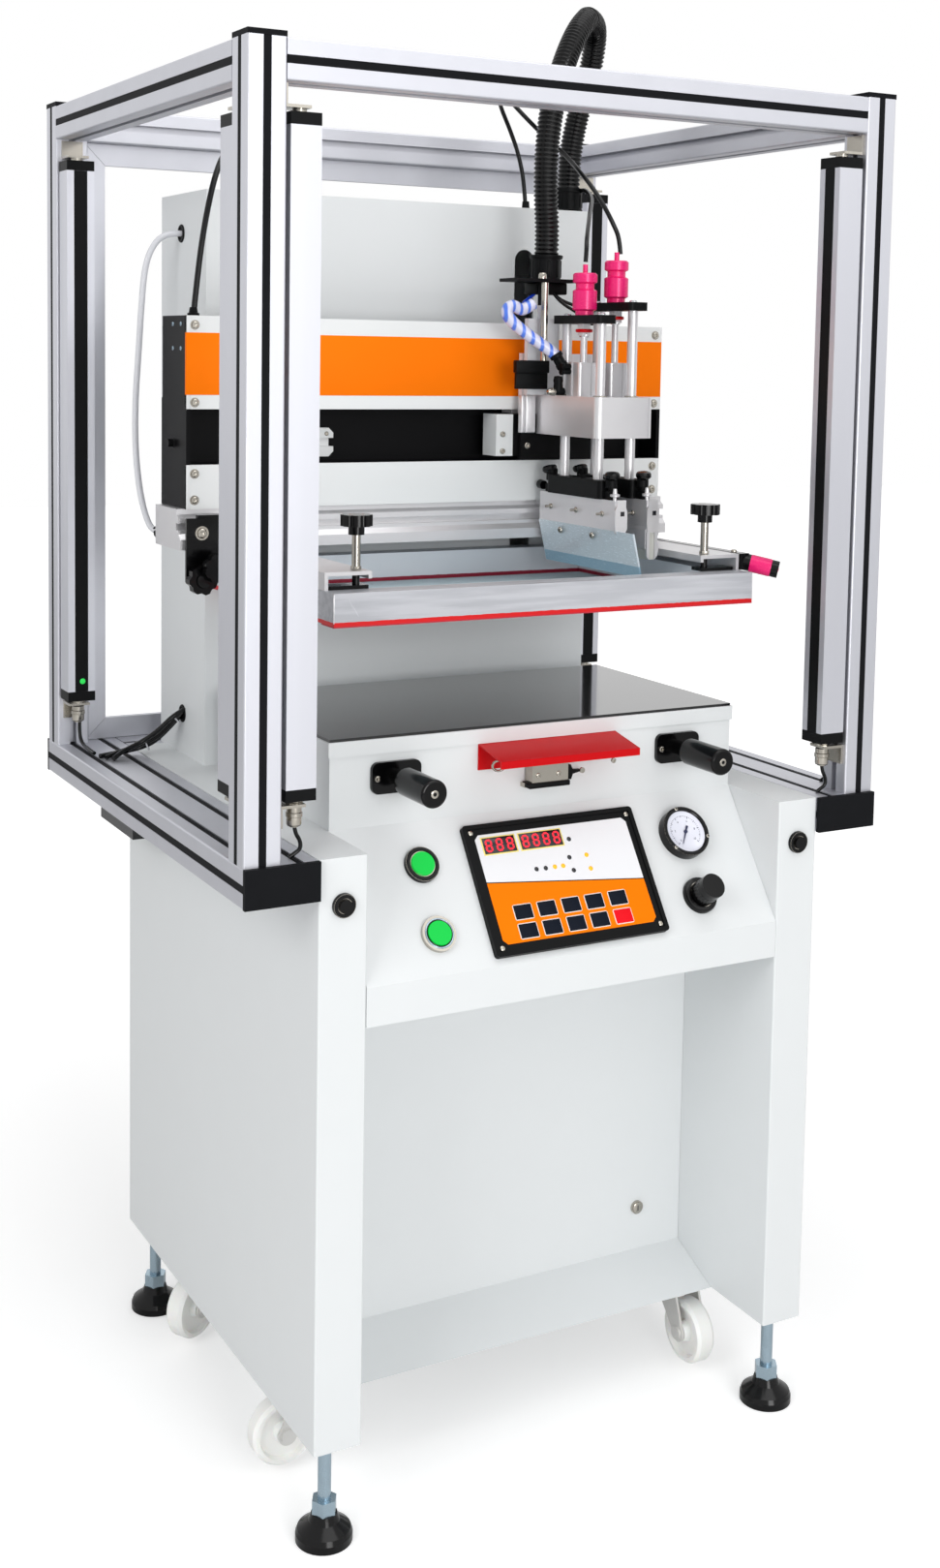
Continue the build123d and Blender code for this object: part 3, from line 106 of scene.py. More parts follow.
def ranged(tree, value, **limits):
    """A value carried from one range to another."""
    return add(tree, "MapRange", Value=value, **limits).outputs["Result"]


def object_place(tree):
    """The point of the surface on its own object, in metres."""
    return add(tree, "TexCoord").outputs["Object"]


def mapped(tree, place, **change):
    """A place, stretched or turned."""
    return add(tree, "Mapping", Vector=place, **change).outputs["Vector"]


def noise(tree, place, **settings):
    """A cloudy value from 0 to 1 at a place."""
    return add(tree, "TexNoise", Vector=place, **settings).outputs["Fac"]


def wave(tree, direction, period_mm, **inputs):
    """Bands across one axis of the object."""
    made = add(tree, "TexWave", {"bands_direction": direction}, Vector=object_place(tree),
               Scale=WAVE_PERIOD / (period_mm * MM), **inputs)
    return made.outputs["Fac"]


def relief(tree, height, strength, depth_mm):
    """The surface's direction, bumped by a height."""
    return add(tree, "Bump", Height=height, Strength=strength, Distance=depth_mm * MM).outputs["Normal"]


def within(tree, axis, low, high, ragged=0.0):
    """1 where an axis of the object's place lies between two values in millimetres, with a ragged edge."""
    place = object_place(tree)
    along = add(tree, "SeparateXYZ", Vector=place).outputs[axis]
    if ragged:
        along = worked(tree, "MULTIPLY_ADD", noise(tree, place, Scale=RAGGED_SCALE, Detail=3.0),
                       -ragged * MM, along)
    return worked(tree, "COMPARE", along, (low + high) / 2 * MM, (high - low) / 2 * MM)


def start(name, wearers=""):
    """A new finish, kept by its name and put on the CAD nodes that wear it: its tree and its surface."""
    material = bpy.data.materials.new(name)
    material.use_nodes = True
    MATERIALS[name] = material
    for wearer in wearers.split():
        slots = NODES[wearer].data.materials
        slots.clear()
        slots.append(material)
    return material.node_tree, material.node_tree.nodes["Principled BSDF"]


def finish(name, wearers, base, spread, rough, rough_spread, grain_mm, bump_mm, stretch=(1, 1, 1), metal=0.0,
           specular=0.5, glow=None, zones=(), **shader):
    """A finish whose colour, gloss and relief vary with one grain, given in millimetres.

    Glow is a colour and a strength. Each zone is an axis, two limits in millimetres, a ragged edge and a
    colour that is painted there. It gives back the tree, the surface and its colour for more work.
    """
    tree, surface = start(name, wearers)
    place = mapped(tree, object_place(tree), Scale=stretch)
    grain = noise(tree, place, Scale=1 / (grain_mm * MM), Detail=3.0)
    cloud = noise(tree, place, Scale=1 / (grain_mm * MM * CLOUD_GRAINS), Detail=2.0)
    light = colour(base) if isinstance(base, str) else [*base, 1.0]
    shade = blended(tree, cloud, [c * (1 - spread) for c in light[:3]] + [1.0], light)
    for axis, low, high, ragged, painted in zones:
        mask = within(tree, axis, low, high, ragged)
        shade = blended(tree, mask, shade, colour(painted))
        metal = worked(tree, "MULTIPLY", metal, worked(tree, "SUBTRACT", 1.0, mask))
    if glow:
        shader.update(Emission_Color=colour(glow[0]), Emission_Strength=glow[1])
    wire(tree, surface, Base_Color=shade, Metallic=metal, Specular_IOR_Level=specular,
         Roughness=ranged(tree, grain, To_Min=rough - rough_spread, To_Max=rough + rough_spread),
         Normal=relief(tree, grain, RELIEF_SHARE, bump_mm), **shader)
    return tree, surface, shade


def worn_tube_and_painted_light():
    """Welded aluminium tube, worn by cleaning: brushed along X, cloudy, with a few long scratches.

    Its inner faces are lighter, a painted light where the lamps reach them too little, over a dark red seam
    of glue, and red tape runs round its outer foot.
    """
    tree, surface, shade = finish("worn_tube_and_painted_light", "screen_frame", "#BFC1C7", 0.28, 0.4, 0.1, 0.8, 0.03,
                                  stretch=(0.1, 1, 1), metal=0.25)
    place = mapped(tree, mapped(tree, object_place(tree), Rotation=(0, 0.5, 0)), Scale=(9, 9, 1.5))
    scratch = noise(tree, place, Scale=14.0, Detail=2.0, Distortion=0.6)
    streak = noise(tree, mapped(tree, object_place(tree), Scale=(0.06, 1, 1)), Scale=160.0, Detail=4.0)
    # The inner faces: painted light, made lighter where little lamp light reaches them; the seam and the tape
    # use the same mask.
    inside = worked(tree, "MULTIPLY", within(tree, X, -235.5, 235.5), within(tree, Y, -232.5, 70.5))
    seam = worked(tree, "MULTIPLY", inside, within(tree, Z, 930, 949, 0.8))
    tape = worked(tree, "SUBTRACT", within(tree, Z, 930, 948.4, 1.4), inside, clamp=True)
    for share, code in (
        (ranged(tree, scratch, From_Min=0.72, From_Max=0.78, To_Max=0.6), "#E4E5EA"),
        (ranged(tree, streak, From_Min=0.42, From_Max=0.62, To_Max=0.35), "#DADBE0"),
        # painted light on the inner faces
        (inside, "#E8EBF0"),
        (seam, "#9A1C34"),
        (tape, "#D4040C"),
    ):
        shade = blended(tree, share, shade, colour(code))
    wire(tree, surface, Base_Color=shade)


def woven_mesh():
    """Polyester fabric, woven: pale blue threads, drawn coarse enough to show, and a red glue line."""
    tree, surface = start("woven_mesh", "screen_mesh")
    weave = worked(tree, "MAXIMUM", wave(tree, "X", 2), wave(tree, "Y", 2))
    shade = blended(tree, weave, colour("#B4CBD3"), colour("#D2E2E8"))
    glue = worked(tree, "MAXIMUM", within(tree, Y, 66.6, 69.4, 0.6), within(tree, Y, -231.5, -229.5, 0.6))
    edge = worked(tree, "MAXIMUM", within(tree, Y, 69.5, 200), within(tree, Y, -400, -231.6))
    for share, code in ((glue, "#8C2438"), (edge, "#B3162A")):
        shade = blended(tree, share, shade, colour(code))
    wire(tree, surface, Base_Color=shade, Normal=relief(tree, weave, 0.4, 0.2), Roughness=0.55)


def spiral_film():
    """Clear spiral wrap over blue tubes: pale bands that turn round the bundle, bluish between them."""
    tree, surface = start("spiral_film")
    bands = wave(tree, "X", 11, Distortion=1.2, Detail=1.0)
    share = ranged(tree, bands, From_Min=0.15, From_Max=0.45)
    wire(tree, surface, Base_Color=blended(tree, share, colour("#4E7BE6"), colour("#D9D9EE")),
         Normal=relief(tree, bands, 0.5, 0.8), Roughness=0.3, Coat_Weight=0.4)


def make_materials(tones):
    """Every finish of the machine, named for its real material and put on the CAD nodes that wear it."""
    castors = [f"{side}_{hand}" for side in ("front", "rear") for hand in ("left", "right")]
    # Extruded aluminium, etched and anodised: soft silver-white with draw lines along its length.
    finish("anodised_upright", "frame_posts curtain_bodies", "#D2D3DA", 0.08, 0.42, 0.05, 0.9, 0.012,
           stretch=(1, 1, 0.03), metal=0.82)
    # The same extrusion in the beams, which run two ways, so its grain is even.
    finish("anodised_beam", "frame_top_beams frame_base_beams rear_panel_frame", "#CCCDD4", 0.08, 0.42, 0.05,
           0.9, 0.01, metal=0.8)
    # Machined aluminium, clear anodised: brighter, with a silky sheen.
    finish("machined_aluminium", "screen_bar screen_arms carriage_block carriage_cylinders flood_holder "
           "squeegee_holder", "#DCDBDD", 0.05, 0.33, 0.05, 0.5, 0.008, metal=0.6)
    # Grey-white powder coat on sheet steel: a fine orange peel.
    finish("white_powder_coat", "cabinet_sides console_housing cabinet_core table_box column_front "
           "column_shell", tones.coat, 0.02, 0.45, 0.04, 1.2, 0.02)
    # The same coat on the head's bent plates, a little brighter.
    finish("white_plate", "head_front_plates", "#E6E8E8", 0.02, 0.42, 0.04, 1.2, 0.015)
    # Orange silk paint on the head's front band.
    finish("orange_enamel", "", tones.band, 0.04, 0.5, 0.04, 1.2, 0.012, specular=0.08)
    # Black moulded nylon of caps, covers and clamps: satin.
    finish("black_nylon", "curtain_windows flood_clamps squeegee_clamps control_panel hose_socket", "#0E0F10",
           0.2, 0.42, 0.06, 0.9, 0.02, specular=0.1)
    # Painted steel of the hose stand: a light foot under a black plate and collar.
    finish("stand_coat", "hose_stand", "#101113", 0.2, 0.42, 0.06, 0.9, 0.02, specular=0.1,
           zones=((Z, 1170, 1284, 0.3, "#DADBDE"),))
    # Black rubber strip pressed in the grooves: matt and slightly dusty.
    finish("groove_strip", "frame_trim", "#141518", 0.3, 0.6, 0.06, 0.7, 0.02, specular=0.08)
    # Polished black handles and knobs of thermoset plastic: a sharp shine.
    finish("glossy_thermoset", "table_grips screen_clamps foot_bases regulator_knob button_head "
           "button_vacuum", "#050506", 0.2, 0.16, 0.05, 1.2, 0.004, specular=0.25)
    # Black anodised plates of the head: dark and even.
    finish("black_anodised", "head_housing", "#0B0B0D", 0.25, 0.38, 0.06, 0.6, 0.01, specular=0.08)
    # The carriage's plates: a white painted web and upper plate, and a black plate between them.
    finish("carriage_plate", "carriage_bracket", "#0D0D0E", 0.2, 0.4, 0.05, 0.8, 0.01, specular=0.1,
           zones=((X, 70, 98.5, 0, "#E4E6E6"), (Z, 1152, 1230, 0, "#DFDCDE")))
    # Nickel-plated steel: bright and slightly warm.
    finish("nickel_plate", "micro_switch panel_bezels", "#B8B3A9", 0.12, 0.2, 0.06, 0.7, 0.006, metal=1.0)
    # Zinc-plated studs and nuts: bluish, softly clouded.
    finish("zinc_plate", "under_mounts", "#A9BCC8", 0.15, 0.26, 0.07, 0.8, 0.01, metal=1.0)
    # Nickel-plated curtain brackets, and black painted brackets under the beams.
    finish("bracket_coat", "frame_brackets", "#B8B3A9", 0.12, 0.22, 0.06, 0.7, 0.006, metal=0.85,
           zones=((Z, 560, 720, 0, "#0E0F11"),))
    # Hard chrome on the nuts and screws of the two units: a clear mirror.
    finish("hard_chrome", "", "#D6D8DB", 0.05, 0.14, 0.03, 0.6, 0.002, metal=0.85)
    # Painted castings of the lift and the fork: light grey and slightly grainy. The column's guide shafts
    # wear it too: a pale matt grey in place of their silver, painted light so that they read bright in the
    # shaded slot.
    finish("light_casting", "head_slides column_guides", "#DFE1E1", 0.04, 0.4, 0.05, 1.5, 0.02)
    # Spring steel blade, ground: bluish, with grinding lines and a darker lip.
    finish("ground_steel", "flood_blade", "#D6E2E9", 0.14, 0.26, 0.05, 0.6, 0.008, stretch=(1, 0.08, 1),
           metal=0.35, zones=((Z, 960, 984, 0, "#86A6B8"),))
    # White cast nylon wheels: a little yellow, waxy.
    finish("cast_nylon", " ".join("castor_wheel_" + castor for castor in castors), "#FAF9F6", 0.05, 0.4, 0.05,
           1.5, 0.02, Subsurface_Weight=0.1)
    # Pale lacquered steel of the castor forks: half matt.
    finish("lacquered_steel", " ".join("castor_fork_" + castor for castor in castors), "#DCDBD8", 0.08, 0.38,
           0.06, 1.0, 0.02, metal=0.3)
    # Black acrylic sheet, polished: it mirrors the column.
    finish("black_acrylic", "table_top", "#121314", 0.2, 0.1, 0.03, 3.0, 0.002, Coat_Weight=0.5,
           Coat_Roughness=0.05)
    # Red enamel on the bent flap: smooth, with a soft shine.
    finish("red_enamel", "red_cover", tones.flap, 0.06, 0.34, 0.04, 1.2, 0.008, specular=0.12)
    # Pink anodised pressure knobs, turned: saturated, with fine upright lines.
    finish("pink_anodised", "flood_adjuster squeegee_adjuster", tones.knob, 0.06, 0.26, 0.05, 0.8, 0.006,
           stretch=(0.2, 0.2, 1), metal=0.1, specular=0.4)
    # Green push-button lens, lit from inside.
    finish("green_lens", "button_start button_power", "#00A53C", 0.15, 0.22, 0.04, 2.0, 0.005, specular=0.2,
           glow=("#00D846", 0.45))
    # Polyurethane squeegee strip, cast: milky, slightly grey.
    finish("polyurethane", "squeegee_rubber", "#CFCFC8", 0.08, 0.4, 0.05, 1.5, 0.01)
    # Corrugated polyamide hose, extruded: satin black with bright ribs.
    finish("hose_polyamide", "hose_front hose_rear", "#060607", 0.2, 0.17, 0.04, 1.0, 0.004, specular=0.22)
    # Polyurethane tube, extruded: glossy black, or smooth white or blue.
    finish("black_tube", "", "#08090A", 0.15, 0.22, 0.05, 1.5, 0.004, specular=0.3)
    finish("white_tube", "", "#D9DADF", 0.05, 0.25, 0.05, 1.5, 0.004)
    finish("blue_tube", "", "#1F4BE0", 0.15, 0.2, 0.05, 1.5, 0.004)
    # Printed polyester film of the keypad and its displays: smooth and flat, in six inks.
    finish("film_white", "", "#E9EAED", 0.015, 0.3, 0.03, 2.0, 0.003, specular=0.2)
    finish("film_orange", "", "#F87C00", 0.02, 0.4, 0.03, 2.0, 0.003, specular=0.06)
    finish("film_navy", "", "#07101F", 0.15, 0.3, 0.04, 2.0, 0.004, specular=0.1)
    finish("film_red", "", "#E9101F", 0.05, 0.3, 0.04, 2.0, 0.004, specular=0.1)
    finish("film_pale", "", "#F4ECE4", 0.03, 0.3, 0.03, 2.0, 0.003)
    finish("film_yellow", "", "#F7E27A", 0.05, 0.3, 0.03, 2.0, 0.003)
    # Smoked window of the displays, moulded: nearly black. It also darkens the lock's key slot, as painted
    # shade for its hollow.
    finish("smoked_window", "", "#12131A", 0.2, 0.15, 0.03, 2.0, 0.002)
    # Red light segments, lit from inside.
    finish("red_segment", "", "#F3102E", 0.08, 0.3, 0.04, 1.0, 0.002, glow=("#FF1030", 0.5))
    # Yellow signal lamps under the film: a faint glow.
    finish("amber_lamp", "", "#F6B20C", 0.12, 0.25, 0.05, 1.0, 0.004, glow=("#FFB400", 0.25))
    # Green signal lamp at the curtain's foot: a small bright spot.
    finish("green_lamp", "", "#1FC24A", 0.15, 0.3, 0.05, 1.0, 0.004, glow=("#20D050", 0.5))
    # Enamelled gauge dial behind its clear window: white, slightly blue.
    finish("dial_enamel", "", "#E8EAF6", 0.03, 0.2, 0.03, 2.0, 0.002, Coat_Weight=0.6, Coat_Roughness=0.04)
    # Printing ink of the dial's scale: dark blue, half matt.
    finish("dial_ink", "", "#16204A", 0.1, 0.35, 0.04, 1.0, 0.002)
    worn_tube_and_painted_light()
    woven_mesh()
    spiral_film()


# Shapes, in millimetres


def placed(place=(0, 0, 0), axis=(0, 0, 1), about=0.0):
    """The matrix that turns Z to an axis, after a turn about Z in degrees, and moves to a place."""
    turn = Vector((0, 0, 1)).rotation_difference(Vector(axis)).to_matrix().to_4x4()
    return Matrix.Translation(place) @ turn @ Matrix.Rotation(math.radians(about), 4, "Z")


def at(shape, place=(0, 0, 0), axis=(0, 0, 1), about=0.0, base=Matrix.Identity(4)):
    """Turn a shape's Z to an axis and set it in its place on a base."""
    shape.transform(base @ placed(place, axis, about))
    return shape


def polar(radius, degrees, height, centre=(0, 0)):
    """The point at an angle on a level circle."""
    turn = math.radians(degrees)
    return centre[0] + radius * math.cos(turn), centre[1] + radius * math.sin(turn), height


def rounded(shape, edges, width, segments=2):
    """Round some edges of a shape."""
    bmesh.ops.bevel(shape, geom=edges, offset=width, segments=segments, profile=0.5, affect="EDGES",
                    material=-1)
    return shape


def block(size, bevel=0.0, segments=2):
    """A block about the origin with all its edges rounded."""
    shape = bmesh.new()
    bmesh.ops.create_cube(shape, size=1.0, matrix=Matrix.Diagonal((*size, 1)))
    return rounded(shape, shape.edges[:], bevel, segments) if bevel else shape


def oblong(half_x, half_y):
    """The outline of a rectangle about the origin."""
    return [(-half_x, -half_y), (half_x, -half_y), (half_x, half_y), (-half_x, half_y)]


def plate(outline, thickness, corner=0.0):
    """A flat plate from its outline, standing on the XY plane, with its corners rounded."""
    shape = bmesh.new()
    face = shape.faces.new([shape.verts.new((x, y, 0)) for x, y in outline])
    grown = bmesh.ops.extrude_face_region(shape, geom=[face])["geom"]
    lifted = [v for v in grown if isinstance(v, bmesh.types.BMVert)]
    bmesh.ops.translate(shape, verts=lifted, vec=(0, 0, thickness))
    bmesh.ops.recalc_face_normals(shape, faces=shape.faces[:])
    upright = [e for e in shape.edges if abs(e.verts[0].co.z - e.verts[1].co.z) > thickness / 2]
    return rounded(shape, upright, corner, 4) if corner else shape


def spun(shape, geometry, steps):
    """Spin edges round Z to a closed surface."""
    bmesh.ops.spin(shape, geom=geometry, cent=(0, 0, 0), axis=(0, 0, 1), angle=math.tau, steps=steps,
                   use_merge=True)
    bmesh.ops.remove_doubles(shape, verts=shape.verts[:], dist=0.001)
    bmesh.ops.recalc_face_normals(shape, faces=shape.faces[:])
    return shape


def turned(profile, steps=24):
    """A profile of (radius, height) points spun round Z."""
    shape = bmesh.new()
    points = [shape.verts.new((radius, 0, height)) for radius, height in profile]
    edges = [shape.edges.new(pair) for pair in zip(points, points[1:])]
    return spun(shape, points + edges, steps)


def solid(profile, steps=24):
    """A turned solid: the profile is led flat to the axis where it doesn't end there."""
    ends = [[(0, height)] if radius else [] for radius, height in (profile[0], profile[-1])]
    return turned([*ends[0], *profile, *ends[1]], steps)


def hollow(profile, steps=24):
    """A turned collar whose profile is closed to a loop."""
    return turned([*profile, profile[0]], steps)


def pin(radius, height, steps=20):
    """A short round pin standing on the XY plane."""
    return solid([(radius, 0), (radius, height)], steps)


def washer(inner, outer, height, steps=24):
    """A washer with a slightly tapered rim, lying on the XY plane."""
    return hollow([(inner, 0), (outer, 0), (outer - 0.2, height), (inner, height)], steps)


def ring(radius, tube_radius, steps=40, sides=8):
    """A round ring about Z."""
    shape = bmesh.new()
    matrix = Matrix.Translation((radius, 0, 0)) @ Matrix.Rotation(math.pi / 2, 4, "X")
    made = bmesh.ops.create_circle(shape, segments=sides, radius=tube_radius, matrix=matrix)
    return spun(shape, made["verts"] + shape.edges[:], steps)


def prism(radius, height, sides):
    """A regular prism standing on the XY plane, with its corners on a radius."""
    shape = bmesh.new()
    bmesh.ops.create_cone(shape, cap_ends=True, segments=sides, radius1=radius, radius2=radius, depth=height,
                          matrix=Matrix.Translation((0, 0, height / 2)))
    return shape


def hexagon(across, height, bevel=0.4):
    """A hexagon nut standing on the XY plane."""
    shape = prism(across / 2 / math.cos(math.pi / 6), height, 6)
    return rounded(shape, shape.edges[:], bevel)


def screw(radius, height):
    """A round-headed screw with a socket, its underside on the XY plane."""
    socket = radius * 0.48
    return solid([(radius, 0), (radius, height * 0.35), (radius * 0.93, height * 0.75),
                  (radius * 0.72, height), (socket, height), (socket, height * 0.4), (0, height * 0.3)], 20)


def fluted(radius, height, count, depth):
    """A round grip with flutes cut along it, standing on the XY plane."""
    shape = prism(radius, height, count * 3)
    for point in shape.verts:
        turn = round(math.atan2(point.co.y, point.co.x) / (math.tau / (count * 3)))
        if turn % 3 == 0:
            point.co.xy *= 1 - depth / radius
    return shape


def ribs(count, size, bevel, radius, height, centre, first=0):
    """Upright ribs set round a centre."""
    turns = [first + i * 360 / count for i in range(count)]
    return [at(block(size, bevel), polar(radius, turn, height, centre), about=turn) for turn in turns]


def tube(path, radii, sides):
    """A tube whose ring is carried from point to point of a path, with one radius at each."""
    shape = bmesh.new()
    heading = (path[1] - path[0]).normalized()
    place = placed(path[0], heading)
    made = bmesh.ops.create_circle(shape, segments=sides, radius=radii[0], cap_ends=True, matrix=place)
    edges = list({e for v in made["verts"] for e in v.link_edges})
    for i in range(1, len(path)):
        ahead = path[min(i + 1, len(path) - 1)] - path[i - 1]
        turn = heading.rotation_difference(ahead.normalized()).to_matrix().to_4x4()
        heading = ahead.normalized()
        carried = turn @ place
        carried.translation = path[i]
        move = carried @ Matrix.Scale(radii[i] / radii[i - 1], 4) @ place.inverted()
        grown = bmesh.ops.extrude_edge_only(shape, edges=edges)["geom"]
        bmesh.ops.transform(shape, matrix=move, verts=[v for v in grown if isinstance(v, bmesh.types.BMVert)])
        edges = [e for e in grown if isinstance(e, bmesh.types.BMEdge)]
        place = carried
    bmesh.ops.holes_fill(shape, edges=edges, sides=sides)
    bmesh.ops.recalc_face_normals(shape, faces=shape.faces[:])
    return shape


def shown(name, data):
    """A new object with this data, in the scene."""
    made = bpy.data.objects.new(name, data)
    bpy.context.scene.collection.objects.link(made)
    return made


def mesh_of(curve):
    """The mesh that a curve or a text makes."""
    bpy.context.view_layer.update()
    return bpy.data.meshes.new_from_object(curve.evaluated_get(bpy.context.evaluated_depsgraph_get()))


def figures(text, size):
    """Plain figures as a thin flat shape, centred on the origin."""
    data = bpy.data.curves.new("figures", "FONT")
    data.body = text
    data.size = size
    data.extrude = 0.08
    data.align_x, data.align_y = "CENTER", "CENTER"
    made = shown("figures", data)
    flat = mesh_of(made)
    shape = bmesh.new()
    shape.from_mesh(flat)
    bpy.data.meshes.remove(flat)
    bpy.data.objects.remove(made)
    bpy.data.curves.remove(data)
    bmesh.ops.remove_doubles(shape, verts=shape.verts[:], dist=0.001)
    bmesh.ops.recalc_face_normals(shape, faces=shape.faces[:])
    return shape


def piece(name, look, body, *shapes, sharp=35):
    """Join shapes in millimetres to one object in metres that rides a body."""
    joined = bmesh.new()
    for shape in shapes:
        held = bpy.data.meshes.new("held")
        shape.to_mesh(held)
        shape.free()
        joined.from_mesh(held)
        bpy.data.meshes.remove(held)
    joined.transform(Matrix.Scale(MM, 4))
    data = bpy.data.meshes.new(name)
    joined.to_mesh(data)
    joined.free()
    data.materials.append(MATERIALS[look])
    data.shade_smooth()
    data.set_sharp_from_angle(angle=math.radians(sharp))
    made = shown(name, data)
    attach(made, body)
    return made


# Planes and places on the machine, in millimetres

LEFT, RIGHT, FRONT = (-1, 0, 0), (1, 0, 0), (0, -1, 0)
SLOPE = Matrix(((1, 0, 0, 0), (0, 0.5764, -0.8171, -333), (0, 0.8171, 0.5764, 589), (0, 0, 0, 1)))
PANEL = SLOPE @ Matrix.Translation((2, 81, 5))
GAUGE = SLOPE @ Matrix.Translation((170, 115, 8.5))
KNOB = SLOPE @ Matrix.Translation((166, 42, 0))
DISPLAY_V = 47.6  # height of both displays' middle on the panel
DIAL_START, DIAL_SWEEP, DIAL_MARKS = 225, 270, 40  # the gauge's scale: start and sweep in degrees, steps
NEEDLE_TURN = 238  # degrees
PEDESTAL_FACE, SIDE_BUTTON_Z = -333, 678
HEAD_FACE = 19  # front of the head's plates
COLUMN_TOP = 1408
HOSE_FOOT, HOSE_SOCKET = (136, 2), (244, 130)  # where the hose leaves the carriage and the column
FLOOD_X, SQUEEGEE_X, UNIT_Y, ROD_YS = 141.5, 185.5, -80, (-118, -42)
GRIP_XS, GRIP_Z = (-180, 180), 778
BEAM_TOP = 724  # middle of the strips in the top grooves of the base beams
# The middles of the six light curtains.
CURTAINS = ((-329.5, -315), (329.5, -315), (-370, -272.5), (370, -272.5), (-370, 272.5), (370, 272.5))


# The camera, solved from the photograph's edges

CAMERA_PLACE = (-1.04259, -1.97070, 1.22479)
CAMERA_RIGHT = (0.87808, -0.47824, 0.01651)
CAMERA_UP = (0.02841, 0.08655, 0.99585)
CAMERA_LENS = 42.691
CAMERA_SHIFT_Y = -0.168


# Cords, in millimetres

HOSE_FRONT = [(136, 2, 1346), (136.9, 2, 1375.4), (134, 2, 1408.1), (132.8, 2, 1450), (135.6, 3, 1489.8),
              (142.6, 6, 1527.9), (157, 12, 1566.9), (177.4, 24, 1603), (203.4, 42, 1634),
              (224.3, 60, 1646.8)]
HOSE_REAR = [(224.3, 60, 1646.8), (241, 74.4, 1647.6), (257.6, 93, 1638), (263.7, 108, 1607.3),
             (261.2, 118, 1573.8), (254.6, 125, 1541.7), (248.4, 130, 1503.4), (244.4, 130, 1469.3),
             (244, 130, 1441)]

# Each thin tube or cable: name, diameter, finish, the body it rides, the body at its other end, if any (a
# cord with one is left on no body), and route.
THIN_CORDS = (
    ("air_line_head", 7.5, "white_tube", "machine", "print_head",
     [(-265, 191.5, 1363.3), (-282, 191, 1363), (-299, 191, 1352), (-311, 191, 1325), (-316, 189, 1280),
      (-321, 185, 1220), (-327, 180, 1160), (-330, 170, 1100), (-329, 155, 1050), (-327, 135, 1020),
      (-325, 115, 1010), (-323, 98, 1012)]),
    ("head_cable", 7, "black_tube", "machine", "print_head",
     [(-190, 150, 1411), (-192, 145, 1440), (-215, 120, 1462), (-250, 85, 1455), (-270, 65, 1425),
      (-284, 58, 1375), (-293, 57, 1320), (-299, 57, 1262)]),
    ("flood_air_line", 5.5, "black_tube", "flood_unit", "carriage",
     [(141.5, -80, 1335), (142.5, -80, 1348), (146.1, -74, 1360.7), (169.6, -40, 1384.2), (188, -13, 1398),
      (210.4, 20, 1412)]),
    ("flood_return_line", 5.5, "black_tube", "machine", None,
     [(210.4, 20, 1412), (224, 40, 1420.5), (239, 68, 1429), (250, 98, 1438), (254, 118, 1438),
      (254, 126, 1428), (254, 126, 1409)]),
    ("squeegee_air_line", 5.5, "black_tube", "squeegee_unit", "carriage",
     [(190.5, -80, 1346), (188.7, -80, 1364.6), (180.1, -80, 1380.3), (169.6, -74, 1402.9),
      (164.6, -55, 1425.7), (166.3, -25, 1445.3), (169.2, 5, 1463), (166.1, 28, 1478.9), (153.9, 36, 1490.6),
      (139.3, 40, 1504.1), (125.9, 46, 1517.9), (118.7, 58, 1531.6)]),
    ("squeegee_return_line", 5.5, "black_tube", "machine", None,
     [(118.7, 58, 1531.6), (118, 77, 1544), (122.5, 98, 1546.5), (130, 115, 1542), (142, 128.5, 1533),
      (158.3, 136, 1511.1), (172.5, 137, 1480.2), (181.5, 137, 1443.7), (184, 137, 1409)]),
    ("wrapped_bundle", 14.5, "spiral_film", "carriage", None,
     [(96, -36, 1285), (83.4, -36, 1277.5), (76.2, -37, 1278.5), (67.4, -38, 1283), (59.5, -38, 1279.5),
      (59, -38, 1270.5), (68, -40, 1261), (79.9, -43, 1251.6), (92.5, -47, 1242.7), (103.7, -51, 1234.8),
      (112, -54, 1229), (118, -56, 1223)]),
    ("root_cable_a", 6, "black_tube", "machine", None,
     [(-265, 186, 776), (-276, 187, 764), (-296, 195, 742), (-312, 203, 734), (-330, 201, 732),
      (-352, 200, 730), (-366, 196, 729.5)]),
    ("root_cable_b", 6, "black_tube", "machine", None,
     [(-265, 180, 779), (-277, 180, 770), (-294, 187, 750), (-308, 194, 742), (-327, 192, 737),
      (-348, 190, 733), (-362, 185, 729.5)]),
    ("root_cable_c", 6, "black_tube", "machine", None,
     [(-265, 176, 783), (-280, 172, 778), (-298, 178, 759), (-312, 186, 747), (-330, 184, 740),
      (-346, 180, 735), (-356, 174, 729.5)]),
    ("curtain_lead_rear", 4.5, "black_tube", "machine", None,
     [(-369, 270, 764), (-369, 270, 748), (-368.5, 268, 738), (-367, 262, 731.5), (-367, 240, 730),
      (-367, 215, 729.5)]),
)

# The short leads inside the carriage, in the same form.
CARRIAGE_CORDS = (
    ("blue_coil", 4, "blue_tube", "carriage", None,
     [(121.4, -5, 1312), (121, -3, 1303), (117, 0, 1296), (108, -2, 1292), (100.5, -6, 1285),
      (106, -9, 1280), (114, -8, 1284), (113, -3, 1291.5), (105, -1, 1290), (99, -4, 1282),
      (95, -10, 1276)]),
    ("block_lead_1", 4, "black_tube", "carriage", None,
     [(140, 2, 1312), (142, -4, 1300), (152, -10, 1291), (166, -14, 1286), (178, -20, 1280),
      (184, -26, 1270)]),
    ("block_lead_2", 4, "black_tube", "carriage", None,
     [(136, -4, 1312), (139, -12, 1298), (150, -18, 1286), (160, -26, 1279), (170, -34, 1270)]),
)

# The lead at a curtain's foot, its x and y from the curtain's middle. The rear left one has its own route.
LEAD = ((0, 0, 763), (1, 0, 752), (7, 1, 744), (8, 1, 735), (1, 2, 730), (-4, 2, 727.5))


